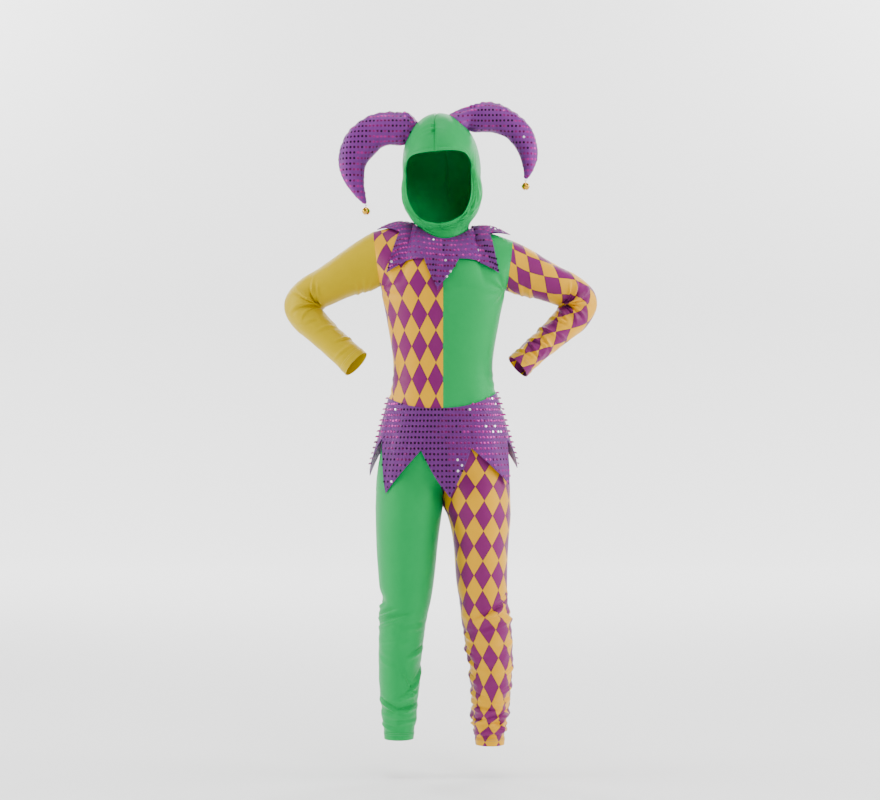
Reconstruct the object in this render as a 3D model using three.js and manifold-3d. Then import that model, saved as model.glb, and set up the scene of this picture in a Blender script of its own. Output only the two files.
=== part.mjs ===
import * as THREE from "three";
import { mergeVertices } from "three/addons/utils/BufferGeometryUtils.js";
import Module from "manifold-3d";

// A child's jester costume in the pose it is worn in, with nothing inside it:
// a two-coloured jumpsuit with a pointed sequinned collar and peplum, and a hood
// with two stuffed horns that end in round bells.
// Millimetres. +Z is up, the front faces -Y, +X is the wearer's left, and the
// origin is the middle of the neck at shoulder height.

const CLOTH = 1.6; // wall of the stretch knit
const SEQUINNED = 1.4; // wall of the sequinned cloth
const SEAM = 0.3; // gap between two pieces that are sewn together
const LAID = 0.5; // gap between a panel and a piece that lies on it

const UNDERARM_Z = -122;
const WAIST_SEAM_Z = -362; // hidden by the peplum
const CROTCH_Z = -540;
const RISE_TOP_Z = -440; // where the seat starts to part into two legs
const SHOULDER_LEAN = 0.065; // the wearer's left shoulder is the lower one
const SQUARENESS = 0.88; // under 1 makes the body sections squarer than an ellipse

// Body sections: half width, and how far the front and the back stand from the side line.
const BODY = [
  { z: -122, width: 120, front: 75, back: 74 },
  { z: -150, width: 114, front: 78, back: 73 },
  { z: -190, width: 107, front: 76, back: 69 },
  { z: -235, width: 99, front: 71, back: 64 },
  { z: -270, width: 95.5, front: 68, back: 62 },
  { z: -305, width: 98, front: 69, back: 66 },
  { z: -340, width: 105, front: 72, back: 73 },
  { z: -385, width: 113, front: 75, back: 83 },
  { z: -440, width: 121, front: 77, back: 90 },
  { z: -490, width: 128, front: 78, back: 87 },
  { z: -540, width: 130, front: 75, back: 78 },
];

// Leg sections: inner and outer side from the middle plane, front and back, and the seam line's y.
const LEG_DEPTHS = [
  { z: -540, front: -75, back: 78, seam: 2 },
  { z: -605, front: -67, back: 66, seam: 0 },
  { z: -682, front: -56, back: 52, seam: 0 },
  { z: -735, front: -50, back: 46, seam: 0 },
  { z: -780, front: -44, back: 48, seam: 4 },
  { z: -835, front: -37, back: 54, seam: 9 },
  { z: -900, front: -31, back: 49, seam: 10 },
  { z: -950, front: -25, back: 40, seam: 9 },
  { z: -1000, front: -21, back: 36, seam: 8 },
];
const LEG_SIDES = {
  right: [
    { z: -540, inner: 0, outer: 130 },
    { z: -605, inner: 9, outer: 128.5 },
    { z: -682, inner: 17, outer: 123.5 },
    { z: -720, inner: 23, outer: 119.5 },
    { z: -758, inner: 31.5, outer: 122.5 },
    { z: -816, inner: 39.5, outer: 124 },
    { z: -874, inner: 44.5, outer: 123.5 },
    { z: -912, inner: 48, outer: 120.5 },
    { z: -950, inner: 52, outer: 116.5 },
    { z: -987, inner: 57, outer: 112.5 },
  ],
  left: [
    { z: -540, inner: 0, outer: 130 },
    { z: -560, inner: 9, outer: 130 },
    { z: -606, inner: 19, outer: 126 },
    { z: -682, inner: 25, outer: 123.5 },
    { z: -720, inner: 31, outer: 125 },
    { z: -758, inner: 36, outer: 129.5 },
    { z: -797, inner: 42, outer: 132.5 },
    { z: -835, inner: 48, outer: 134.5 },
    { z: -874, inner: 52, outer: 132.5 },
    { z: -912, inner: 54.5, outer: 129.5 },
    { z: -950, inner: 56, outer: 123 },
    { z: -998, inner: 63, outer: 117.5 },
  ],
};
const HEM_Z = { right: -987, left: -998 };

// Creases in a leg: height, place round the leg (0 inner, 90 front, 180 outer, 270 back, in
// degrees), how far it runs each way, its height and its depth (a ridge is positive), and how
// many millimetres it climbs for each degree.
const LEG_FOLDS = {
  right: [
    { z: -716, at: 172, run: 46, tall: 11, deep: -4.0, slant: 0.1 },
    { z: -742, at: 165, run: 60, tall: 9, deep: 2.6, slant: -0.25 },
    { z: -768, at: 140, run: 55, tall: 10, deep: -2.0, slant: -0.25 },
    { z: -790, at: 275, run: 60, tall: 11, deep: -3.0, slant: 0 },
    { z: -850, at: 25, run: 45, tall: 12, deep: -2.4, slant: -0.3 },
    { z: -893, at: 40, run: 50, tall: 10, deep: 2.4, slant: -0.3 },
    { z: -926, at: 90, run: 130, tall: 8, deep: -2.6, slant: 0 },
    { z: -944, at: 90, run: 150, tall: 8, deep: 2.2, slant: 0 },
    { z: -966, at: 300, run: 110, tall: 7, deep: -1.8, slant: 0 },
  ],
  left: [
    { z: -722, at: 150, run: 45, tall: 10, deep: -3.2, slant: 0.3 },
    { z: -748, at: 150, run: 55, tall: 9, deep: 3.0, slant: 0.25 },
    { z: -775, at: 80, run: 65, tall: 9, deep: -2.4, slant: 0.2 },
    { z: -790, at: 275, run: 60, tall: 11, deep: -3.0, slant: 0 },
    { z: -812, at: 30, run: 50, tall: 10, deep: 2.4, slant: -0.3 },
    { z: -846, at: 20, run: 60, tall: 10, deep: -3.0, slant: -0.3 },
    { z: -905, at: 160, run: 60, tall: 10, deep: -2.4, slant: 0.2 },
    { z: -942, at: 60, run: 120, tall: 7, deep: 2.6, slant: 0.05 },
    { z: -955, at: 90, run: 170, tall: 6, deep: -3.2, slant: 0 },
    { z: -967, at: 120, run: 170, tall: 6, deep: 3.4, slant: 0.04 },
    { z: -979, at: 90, run: 180, tall: 5, deep: -2.6, slant: 0 },
  ],
};

// Armhole: an egg-shaped loop, given at its foot and at the shoulder.
const ARMHOLE = { foot: 120, shoulder: 134, midZ: -71.5, halfTall: 50.5, halfDeep: 38, shoulderY: 10 };
// Neckline: a loop that is lower at the front.
const NECK = { halfWide: 52, y: 4, front: 54, back: 46, sideZ: -5, frontDrop: 25, backDrop: -3 };
const NECK_SHARE = 4 / 9; // share of a panel's top edge that is neckline, the rest is shoulder seam
const SHOULDER_CROWN = 3;

// Sleeves: the corner of the two straight stretches, the cuff's middle, and the elbow's bend.
const SLEEVES = {
  right: { elbow: [-291, 30, -151], cuff: [-166, -14, -267], bend: 36 },
  left: { elbow: [287, 30, -143], cuff: [143, -14, -272], bend: 35 },
};
// Sleeve sections by share of its length: half width across the photo plane, and half depth.
const SLEEVE_GIRTH = {
  right: [
    { share: 0.0, across: 49, deep: 40 },
    { share: 0.2, across: 41.5, deep: 40 },
    { share: 0.38, across: 36, deep: 37 },
    { share: 0.52, across: 35, deep: 36 },
    { share: 0.68, across: 30, deep: 33 },
    { share: 0.86, across: 27.5, deep: 29 },
    { share: 1.0, across: 28.5, deep: 28 },
  ],
  left: [
    { share: 0.0, across: 47, deep: 40 },
    { share: 0.2, across: 38.5, deep: 39 },
    { share: 0.38, across: 34.5, deep: 36 },
    { share: 0.52, across: 34, deep: 35 },
    { share: 0.68, across: 28.5, deep: 32 },
    { share: 0.86, across: 25, deep: 28 },
    { share: 1.0, across: 25, deep: 26 },
  ],
};
const ELBOW_POINT = 8; // how far the outer corner of the elbow stands out
// Creases in a sleeve: share of the length, place round it (0 outer, 90 front, 180 inner), run,
// length along the sleeve, depth, and how much of the share it moves for each degree.
const SLEEVE_FOLDS = {
  right: [
    { share: 0.44, at: 120, run: 75, long: 0.022, deep: -3.6, slant: 0.0003 },
    { share: 0.49, at: 110, run: 70, long: 0.02, deep: 2.8, slant: 0.0002 },
    { share: 0.535, at: 130, run: 70, long: 0.022, deep: -3.0, slant: -0.0002 },
    { share: 0.12, at: 165, run: 60, long: 0.025, deep: -2.6, slant: 0 },
    { share: 0.78, at: 200, run: 80, long: 0.02, deep: -1.8, slant: 0.0004 },
  ],
  left: [
    { share: 0.43, at: 125, run: 70, long: 0.02, deep: -3.4, slant: 0.0004 },
    { share: 0.475, at: 110, run: 75, long: 0.018, deep: 3.0, slant: 0.0003 },
    { share: 0.52, at: 120, run: 75, long: 0.02, deep: -3.4, slant: 0 },
    { share: 0.1, at: 160, run: 60, long: 0.025, deep: -2.6, slant: 0 },
    { share: 0.7, at: 140, run: 90, long: 0.018, deep: -2.2, slant: -0.0003 },
    { share: 0.79, at: 140, run: 90, long: 0.018, deep: -2.2, slant: -0.0003 },
    { share: 0.9, at: 130, run: 90, long: 0.02, deep: -2.0, slant: 0.0003 },
  ],
};

// Collar hem, tip and notch in turn, from one shoulder to the other: where each lies on the
// body, across (-1 and 1 are the armholes) and up (0 chest line, 1 neckline and shoulder).
const COLLAR_FRONT = [
  { at: -4, across: -0.95, up: 1 },
  { at: -3, across: -0.61, up: 0.78 },
  { at: -2, across: -0.72, up: 0.26 },
  { at: -1, across: -0.18, up: 0.46 },
  { at: 0, across: -0.04, up: -0.03 },
  { at: 1, across: 0.15, up: 0.5 },
  { at: 2, across: 0.72, up: 0.33 },
  { at: 3, across: 0.66, up: 0.85 },
  { at: 4, across: 0.95, up: 1 },
];
const COLLAR_BACK = [
  { at: -4, across: -0.95, up: 1 },
  { at: -3, across: -0.7, up: 0.9 },
  { at: -2, across: -0.8, up: 0.36 },
  { at: -1, across: -0.24, up: 0.6 },
  { at: 0, across: 0, up: 0.08 },
  { at: 1, across: 0.24, up: 0.6 },
  { at: 2, across: 0.8, up: 0.36 },
  { at: 3, across: 0.7, up: 0.9 },
  { at: 4, across: 0.95, up: 1 },
];
const COLLAR_STEPS = 4; // columns between a tip and a notch
const COLLAR_LIFT = 3.2; // how far its hem stands off the body

// Peplum hem, tip and notch in turn: degrees round the body from the middle front towards the
// wearer's left, height, and how far it stands off the body.
const PEPLUM_HEM = [
  { at: 4, z: -520, off: 5 },
  { at: 23, z: -427, off: 4 },
  { at: 63, z: -497, off: 10 },
  { at: 76, z: -412, off: 8 },
  { at: 104, z: -467, off: 22 },
  { at: 123, z: -414, off: 12 },
  { at: 143, z: -500, off: 12 },
  { at: 162, z: -420, off: 6 },
  { at: 180, z: -512, off: 8 },
  { at: 198, z: -420, off: 6 },
  { at: 217, z: -500, off: 12 },
  { at: 237, z: -416, off: 12 },
  { at: 257, z: -482, off: 16 },
  { at: 294, z: -410, off: 8 },
  { at: 309, z: -513, off: 7 },
  { at: 343, z: -431, off: 4 },
];
const PEPLUM_STEPS = 4; // columns between a tip and a notch

// Hood, about the head's middle: a skull part and a jaw part, each an ellipsoid.
const HEAD = { x: 5, y: 5, z: 95, roll: -4.5, yaw: -7 };
const SKULL = { y: 10, z: 18, halfWide: 75.5, halfDeep: 94, halfTall: 105 };
const JAW = { y: -20, z: -34, halfWide: 77.5, halfDeep: 70, halfTall: 82 };
const FACE = { z: -26, halfWide: 63, above: 66, below: 76, topSquare: 0.45, chinSquare: 1 };
// The hood's rows are circles about the head that grow from the face to the neck: angles in the
// middle plane from straight ahead, up over the crown, in degrees.
const ROW_CHIN = { face: -52, neck: -68 };
const ROW_CROWN = { face: 42, neck: 246 };
const HOOD_FOLDS = { right: 1, left: 1.7 };
const HOOD_TUCK = 12; // how far the hood goes down inside the neckline
const HOOD_INSET = 2.3; // and how far inside it stands

// Horns: middle line by hand, half width in the photo plane and half depth, from the hood outwards.
const HORNS = {
  right: {
    base: [-0.58, 0.04, 0.8],
    baseRadius: 30,
    path: [
      { x: -66, y: 12, z: 187, across: 30, deep: 26 },
      { x: -82, y: 12, z: 186, across: 32, deep: 27 },
      { x: -104, y: 12, z: 187, across: 32.5, deep: 27 },
      { x: -128, y: 12, z: 181.5, across: 33, deep: 27 },
      { x: -146, y: 11, z: 170, across: 34, deep: 27 },
      { x: -161, y: 10, z: 154, across: 33.5, deep: 26 },
      { x: -171, y: 9, z: 134, across: 30.5, deep: 24 },
      { x: -174.5, y: 8, z: 112, across: 26, deep: 21 },
      { x: -171, y: 7, z: 90, across: 20.5, deep: 17 },
      { x: -164.5, y: 6, z: 71, across: 14.5, deep: 13 },
      { x: -156.5, y: 5, z: 54, across: 8.5, deep: 8.5 },
      { x: -149, y: 4, z: 42.5, across: 3.2, deep: 3.2 },
    ],
  },
  left: {
    base: [0.4, 0.06, 0.92],
    baseRadius: 25,
    path: [
      { x: 46, y: 15, z: 207, across: 21.5, deep: 22 },
      { x: 62, y: 18, z: 207.5, across: 27, deep: 24 },
      { x: 80, y: 18, z: 209.5, across: 29.5, deep: 25 },
      { x: 99, y: 18, z: 207.5, across: 29, deep: 25 },
      { x: 118, y: 17, z: 200.5, across: 27, deep: 24 },
      { x: 138, y: 16, z: 188, across: 25, deep: 22 },
      { x: 153.5, y: 15, z: 169.5, across: 23.5, deep: 20 },
      { x: 162, y: 14, z: 149, across: 20.5, deep: 18 },
      { x: 165.5, y: 13, z: 127, across: 15.8, deep: 14.5 },
      { x: 164, y: 12, z: 107, across: 10, deep: 10 },
      { x: 159.5, y: 11, z: 91, across: 3.6, deep: 3.6 },
    ],
  },
};
const HORN_SIDES = 16;

const BELL = { radius: 7.8, drop: 10.6, rimHalf: 0.6, rimOut: 0.5, slotWide: 1.4, slotDeep: 4 };
const LOOP = { radius: 1.7, wire: 0.45 }; // the bell's ring
const THREAD = { wire: 0.4, halfWide: 1.7 }; // the sewn loop that holds it

const GREEN = { color: 0x3fb167, roughness: 0.62, metalness: 0 };
const YELLOW = { color: 0xecc41e, roughness: 0.66, metalness: 0 };
const HARLEQUIN = { color: 0xb9873f, roughness: 0.66, metalness: 0 };
const PURPLE = { color: 0x76479a, roughness: 0.45, metalness: 0.1 };
const BRASS = { color: 0xd8b85c, roughness: 0.25, metalness: 1 };
const COTTON = { color: 0x5c3a86, roughness: 0.9, metalness: 0 };

const { PI, sin, cos, sign, abs, min, max, hypot } = Math;
const DEGREE = PI / 180;
const lerp = (a, b, k) => a + (b - a) * k;
const clamp = (x, a = 0, b = 1) => min(b, max(a, x));
const smooth = (a, b, x) => {
  const k = clamp((x - a) / (b - a));
  return k * k * (3 - 2 * k);
};
const vec = (x, y, z) => new THREE.Vector3(x, y, z);
const steps = (n) => Array.from({ length: n + 1 }, (_, i) => i / n);

// The value of one column of a table at a place between its rows, on a smooth curve.
function read(table, key, column, at) {
  const up = table[1][key] > table[0][key] ? 1 : -1;
  let i = 0;
  while (i < table.length - 2 && (at - table[i + 1][key]) * up > 0) i += 1;
  const [a, b] = [table[i], table[i + 1]];
  const span = b[key] - a[key];
  const before = table[i - 1] ?? a;
  const after = table[i + 2] ?? b;
  const slopeA = ((b[column] - before[column]) / (b[key] - before[key])) * span;
  const slopeB = ((after[column] - a[column]) / (after[key] - a[key])) * span;
  const k = clamp((at - a[key]) / span);
  return (
    a[column] * (2 * k ** 3 - 3 * k * k + 1) +
    slopeA * (k ** 3 - 2 * k * k + k) +
    b[column] * (3 * k * k - 2 * k ** 3) +
    slopeB * (k ** 3 - k * k)
  );
}

// The same, on straight lines between the rows.
function readStraight(table, key, column, at) {
  let i = 0;
  while (i < table.length - 2 && at > table[i + 1][key]) i += 1;
  const [a, b] = [table[i], table[i + 1]];
  return lerp(a[column], b[column], clamp((at - a[key]) / (b[key] - a[key])));
}

// A sheet of cloth: rows of points of its outer face with the normals that face out; ring joins
// the last column to the first.
function sheet(rows, ring = false) {
  const high = rows.length;
  const wide = rows[0].length;
  const at = (i, j) => rows[clamp(i, 0, high - 1)][ring ? (j + wide) % wide : clamp(j, 0, wide - 1)];
  const middle = vec(0, 0, 0);
  rows.forEach((row) => row.forEach((p) => middle.addScaledVector(p, 1 / (high * wide))));
  let outward = 0;
  const normals = rows.map((row, i) =>
    row.map((p, j) => {
      const across = at(i, j + 1).clone().sub(at(i, j - 1));
      const along = at(i + 1, j).clone().sub(at(i - 1, j));
      const n = across.cross(along).normalize();
      outward += p.clone().sub(middle).dot(n);
      return n;
    }),
  );
  if (outward < 0) normals.forEach((row) => row.forEach((n) => n.negate()));
  return { rows, normals, ring };
}

// Gives two sheets the same normals along the seam that they share.
function meet(a, b, shared) {
  a.normals.forEach((row, i) =>
    row.forEach((n, j) => {
      if (!shared(i, j)) return;
      n.add(b.normals[i][j]).normalize();
      b.normals[i][j].copy(n);
    }),
  );
}

// A closed wall: the outer face, an inner face behind it, and the rims between them.
function wall({ rows, normals, ring }, thickness) {
  const high = rows.length;
  const wide = rows[0].length;
  const points = rows.flat().map((p) => p.clone());
  rows.forEach((row, i) =>
    row.forEach((p, j) => points.push(p.clone().addScaledVector(normals[i][j], -thickness))),
  );
  const faces = [];
  const quad = (a, b, c, d) => {
    if (points[a].distanceTo(points[c]) < points[b].distanceTo(points[d])) faces.push([a, b, c], [a, c, d]);
    else faces.push([a, b, d], [b, c, d]);
  };
  const outer = (i, j) => i * wide + (j % wide);
  const inner = (i, j) => high * wide + outer(i, j);
  const columns = ring ? wide : wide - 1;
  for (let i = 0; i < high - 1; i += 1) {
    for (let j = 0; j < columns; j += 1) {
      quad(outer(i, j), outer(i, j + 1), outer(i + 1, j + 1), outer(i + 1, j));
      quad(inner(i, j), inner(i + 1, j), inner(i + 1, j + 1), inner(i, j + 1));
    }
  }
  for (let j = 0; j < columns; j += 1) {
    quad(outer(0, j), inner(0, j), inner(0, j + 1), outer(0, j + 1));
    quad(outer(high - 1, j), outer(high - 1, j + 1), inner(high - 1, j + 1), inner(high - 1, j));
  }
  for (let i = 0; i < high - 1 && !ring; i += 1) {
    quad(outer(i, 0), outer(i + 1, 0), inner(i + 1, 0), inner(i, 0));
    quad(outer(i, wide - 1), inner(i, wide - 1), inner(i + 1, wide - 1), outer(i + 1, wide - 1));
  }
  return closedBody(points, faces);
}

// A geometry from points and triangles, turned to face out.
function closedBody(points, faces) {
  const volume = faces.reduce((sum, [a, b, c]) => {
    const cross = points[b].clone().cross(points[c]);
    return sum + points[a].dot(cross);
  }, 0);
  const index = faces.flatMap(([a, b, c]) => (volume > 0 ? [a, b, c] : [a, c, b]));
  const geometry = new THREE.BufferGeometry();
  geometry.setAttribute("position", new THREE.Float32BufferAttribute(points.flatMap((p) => p.toArray()), 3));
  geometry.setIndex(index);
  geometry.computeVertexNormals();
  return geometry;
}

// Draws an edge of a panel back by half a seam, so that two sewn panels stay apart.
function trim(rows, { first = false, last = false, bottom = false, top = false }) {
  const pull = (p, q) => p.addScaledVector(q.clone().sub(p).normalize(), SEAM / 2);
  const wide = rows[0].length;
  const high = rows.length;
  if (bottom) rows[0].forEach((p, j) => pull(p, rows[1][j]));
  if (top) rows[high - 1].forEach((p, j) => pull(p, rows[high - 2][j]));
  rows.forEach((row) => {
    if (first) pull(row[0], row[1]);
    if (last) pull(row[wide - 1], row[wide - 2]);
  });
  return rows;
}

const power = (x) => sign(x) * abs(x) ** SQUARENESS;

// A point of the body's outline at a height, by the angle from the middle front (0) to back (PI).
function bodyRing(z, angle) {
  const deep = cos(angle) > 0 ? "front" : "back";
  const width = read(BODY, "z", "width", z);
  return vec(width * power(sin(angle)), -read(BODY, "z", deep, z) * power(cos(angle)), z);
}

// The wearer's right side mirrors the left one, and then the shoulders lean.
function posed(side, p) {
  const x = p.x * side;
  return vec(x, p.y, p.z - SHOULDER_LEAN * x * smooth(-210, -40, p.z));
}

function armhole(angle, front) {
  const rise = (1 + cos(angle)) / 2;
  const deep = ARMHOLE.halfDeep * sin(angle) * (front ? -1 : 1);
  return vec(
    lerp(ARMHOLE.foot, ARMHOLE.shoulder, rise ** 0.8),
    ARMHOLE.shoulderY * rise + deep,
    ARMHOLE.midZ + ARMHOLE.halfTall * cos(angle),
  );
}

function neckline(quarter, front) {
  const angle = (quarter * PI) / 2;
  const middle = cos(angle) ** 2;
  return vec(
    NECK.halfWide * sin(angle),
    NECK.y + (front ? -NECK.front : NECK.back) * cos(angle),
    NECK.sideZ - (front ? NECK.frontDrop : NECK.backDrop) * middle,
  );
}

// The upper part of a body panel fills the loop of chest line, armhole, shoulder seam, neckline
// and middle line: across and up run from 0 to 1.
function yoke(across, up, front) {
  const chest = (u) => {
    const p = bodyRing(UNDERARM_Z, front ? (u * PI) / 2 : PI - (u * PI) / 2);
    return p;
  };
  const topEdge = (u) => {
    if (u < NECK_SHARE) return neckline(u / NECK_SHARE, front);
    const k = (u - NECK_SHARE) / (1 - NECK_SHARE);
    const p = neckline(1, front).lerp(armhole(0, front), k);
    p.z += SHOULDER_CROWN * sin(PI * k);
    return p;
  };
  const middleLine = (v) => {
    const [a, b] = [chest(0), neckline(0, front)];
    const knee = vec(0, lerp(a.y, b.y, 0.12), lerp(a.z, b.z, 0.62));
    return a.multiplyScalar((1 - v) ** 2).addScaledVector(knee, 2 * v * (1 - v)).addScaledVector(b, v * v);
  };
  const edge = (v) => armhole(PI * (1 - v), front);
  const u = across;
  const v = up;
  const p = chest(u).multiplyScalar(1 - v).addScaledVector(topEdge(u), v);
  p.addScaledVector(middleLine(v), 1 - u).addScaledVector(edge(v), u);
  p.addScaledVector(chest(0), -(1 - u) * (1 - v)).addScaledVector(chest(1), -u * (1 - v));
  return p.addScaledVector(topEdge(0), -(1 - u) * v).addScaledVector(topEdge(1), -u * v);
}

// A point of a body panel; up runs from the waist seam (0) to the chest line (1) to the top (2).
function bodyPanel(side, front, across, up) {
  if (up > 1) return posed(side, yoke(across, up - 1, front));
  const z = lerp(WAIST_SEAM_Z, UNDERARM_Z, up);
  return posed(side, bodyRing(z, front ? (across * PI) / 2 : PI - (across * PI) / 2));
}

function bodyPanelNormal(side, front, across, up) {
  const e = 0.01;
  const [u0, u1] = [max(across - e, 0), min(across + e, 1)];
  const [v0, v1] = [max(up - e, 0), min(up + e, 2)];
  const alongU = bodyPanel(side, front, u1, up).sub(bodyPanel(side, front, u0, up));
  const alongV = bodyPanel(side, front, across, v1).sub(bodyPanel(side, front, across, v0));
  const n = alongU.cross(alongV).multiplyScalar(side * (front ? 1 : -1));
  if (across === 0) n.x = 0;
  return n.normalize();
}

// The front and the back of one side, sewn at the side and the shoulder.
function bodyWalls(side) {
  const columns = steps(9);
  const heights = [...steps(8), ...steps(7).slice(1).map((v) => 1 + v)];
  const make = (front) =>
    sheet(heights.map((up) => columns.map((across) => bodyPanel(side, front, across, up))));
  const [front, back] = [make(true), make(false)];
  [front, back].forEach(({ normals }) => normals.forEach((row) => row[0].setX(0).normalize()));
  meet(front, back, (i, j) => (columns[j] === 1 && heights[i] <= 1) || (heights[i] === 2 && j >= 4));
  return [front, back].map((panel) => {
    trim(panel.rows, { first: true, last: true, bottom: true, top: true });
    return wall(panel, CLOTH);
  });
}

// A crease's push at a place, soft along its run and across its height.
function crease(fold, distance, turn) {
  const run = abs(turn) / fold.run;
  return run < 1 ? fold.deep * cos((run * PI) / 2) ** 2 * Math.exp(-distance * distance) : 0;
}

const turnBetween = (a, b) => ((a - b + 540) % 360) - 180;

// A point of a leg panel; across runs from the rise or inseam (0) to the side seam (1).
function legPanel(side, front, across, z) {
  const name = side > 0 ? "left" : "right";
  const above = z > CROTCH_Z;
  const at = min(z, CROTCH_Z);
  const inner = above ? 0 : read(LEG_SIDES[name], "z", "inner", z);
  const outer = above ? read(BODY, "z", "width", z) : read(LEG_SIDES[name], "z", "outer", z);
  const seam = read(LEG_DEPTHS, "z", "seam", at);
  const facing = front ? "front" : "back";
  const deep = above
    ? read(BODY, "z", facing, z) * (front ? -1 : 1)
    : read(LEG_DEPTHS, "z", facing, z);
  const angle = across * PI;
  const leg = vec(
    (inner + outer) / 2 - ((outer - inner) / 2) * cos(angle),
    lerp(seam, deep, sin(angle)),
    z,
  );
  const seat = bodyRing(max(z, CROTCH_Z), front ? angle / 2 : PI - angle / 2).setZ(z);
  const p = seat.lerp(leg, smooth(RISE_TOP_Z, CROTCH_Z, z));
  const round = (front ? across : 2 - across) * 180;
  const out = vec(p.x - (inner + outer) / 2, p.y - seam, 0).normalize();
  const push = LEG_FOLDS[name].reduce((sum, fold) => {
    const turn = turnBetween(round, fold.at);
    return sum + crease(fold, (z - fold.z - fold.slant * turn) / fold.tall, turn);
  }, 0);
  p.addScaledVector(out, push);
  p.x *= side;
  return p;
}

function legHeights(name) {
  const heights = [WAIST_SEAM_Z, -390, -420, -445, -470, -495, -515, -530, CROTCH_Z];
  const fine = { right: 16, left: 18 }[name];
  const straight = [-558, -586, -618, -650, -682];
  const creased = steps(fine).map((k) => lerp(-706, HEM_Z[name], k));
  return [...heights, ...straight, ...creased];
}

// The front and the back of one leg, sewn at the side and inside the leg.
function legWalls(side) {
  const name = side > 0 ? "left" : "right";
  const columns = steps(8);
  const heights = legHeights(name);
  const make = (front) => sheet(heights.map((z) => columns.map((across) => legPanel(side, front, across, z))));
  const [front, back] = [make(true), make(false)];
  [front, back].forEach(({ normals }) =>
    heights.forEach((z, i) => z > CROTCH_Z && normals[i][0].setX(0).normalize()),
  );
  meet(front, back, (i, j) => columns[j] === 1 || (columns[j] === 0 && heights[i] <= CROTCH_Z));
  return [front, back].map((panel, back) => {
    trim(panel.rows, { last: true, bottom: true });
    panel.rows.forEach(([p], i) => {
      if (heights[i] >= CROTCH_Z) p.x = (side * SEAM) / 2;
      if (heights[i] <= CROTCH_Z) p.y += back ? SEAM / 2 : -SEAM / 2;
    });
    return wall(panel, CLOTH);
  });
}

// The sleeve's middle line: a straight upper arm, a round bend and a straight forearm.
function sleeveLine(name) {
  const { elbow, cuff, bend } = SLEEVES[name];
  const side = name === "left" ? 1 : -1;
  const start = posed(side, vec((ARMHOLE.foot + ARMHOLE.shoulder) / 2, ARMHOLE.shoulderY / 2, ARMHOLE.midZ));
  const corner = vec(...elbow);
  const end = vec(...cuff);
  const upper = corner.clone().sub(start).normalize();
  const lower = end.clone().sub(corner).normalize();
  const turn = upper.angleTo(lower);
  const reach = bend * Math.tan(turn / 2);
  const hinge = upper.clone().cross(lower).normalize();
  const inwards = hinge.clone().cross(upper);
  const pivot = corner.clone().addScaledVector(upper, -reach).addScaledVector(inwards, bend);
  const first = corner.distanceTo(start) - reach;
  const second = bend * turn;
  const third = corner.distanceTo(end) - reach;
  const total = first + second + third;
  return (share) => {
    const d = share * total;
    const swing = clamp((d - first) / second) * turn;
    const out = inwards.clone().negate().applyAxisAngle(hinge, swing);
    const centre = pivot.clone().addScaledVector(out, bend);
    if (d < first) centre.addScaledVector(upper, d - first);
    if (d > first + second) centre.addScaledVector(lower, d - first - second);
    const forward = hinge.clone().multiplyScalar(-sign(hinge.y));
    return { centre, out, forward, bent: sin((swing / turn) * PI) };
  };
}

function sleevePoint(name, line, share, turn) {
  const side = name === "left" ? 1 : -1;
  const { centre, out, forward, bent } = line(share);
  const across = read(SLEEVE_GIRTH[name], "share", "across", share);
  const deep = read(SLEEVE_GIRTH[name], "share", "deep", share);
  const point = bent ** 3 * ELBOW_POINT * max(cos(turn), 0) ** 2;
  const push = SLEEVE_FOLDS[name].reduce((sum, fold) => {
    const off = turnBetween(turn / DEGREE, fold.at);
    return sum + crease(fold, (share - fold.share - fold.slant * off) / fold.long, off);
  }, 0);
  const p = centre
    .clone()
    .addScaledVector(out, (across + point + push) * cos(turn))
    .addScaledVector(forward, (deep + push) * sin(turn));
  const hole = armhole(turn > PI ? 2 * PI - turn : turn, turn <= PI);
  const edge = posed(side, hole);
  edge.x += side * (SEAM + 0.2);
  const leaving = edge.clone().addScaledVector(line(0.3).centre.clone().sub(line(0).centre), share / 0.3);
  return leaving.lerp(p, smooth(0.0, 0.26, share));
}

function sleeveWall(name) {
  const line = sleeveLine(name);
  const around = steps(14).slice(0, -1);
  const shares = steps(22);
  const rows = shares.map((share) => around.map((k) => sleevePoint(name, line, share, k * 2 * PI)));
  return wall(sheet(rows, true), CLOTH);
}

// A point of the collar: at runs over the hem table, down from the neckline (0) to the hem (1).
function collarPoint(front, at, down) {
  const table = front ? COLLAR_FRONT : COLLAR_BACK;
  const signed = lerp((NECK_SHARE * at) / 4, readStraight(table, "at", "across", at), down);
  const [side, across] = [signed < 0 ? -1 : 1, abs(signed)];
  const up = 1 + lerp(1, readStraight(table, "at", "up", at), down);
  const n = bodyPanelNormal(side, front, across, up);
  if (abs(at) === 4) n.add(bodyPanelNormal(side, !front, across, up)).normalize();
  return bodyPanel(side, front, across, up).addScaledVector(n, LAID + SEQUINNED + COLLAR_LIFT * down);
}

function collar() {
  const places = steps(8 * COLLAR_STEPS).slice(0, -1).map((k) => k * 8 - 4);
  const rows = steps(5).map((down) => [
    ...places.map((at) => collarPoint(true, at, down)),
    ...places.map((at) => collarPoint(false, -at, down)),
  ]);
  return wall(sheet(rows, true), SEQUINNED);
}

// The peplum's top edge dips at the front and rises a little to the wearer's left.
function peplumTop(angle) {
  const dip = cos(angle) > 0 ? 24 : -6;
  return -327 - dip * cos(angle) ** 2 + 5 * sin(angle);
}

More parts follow.
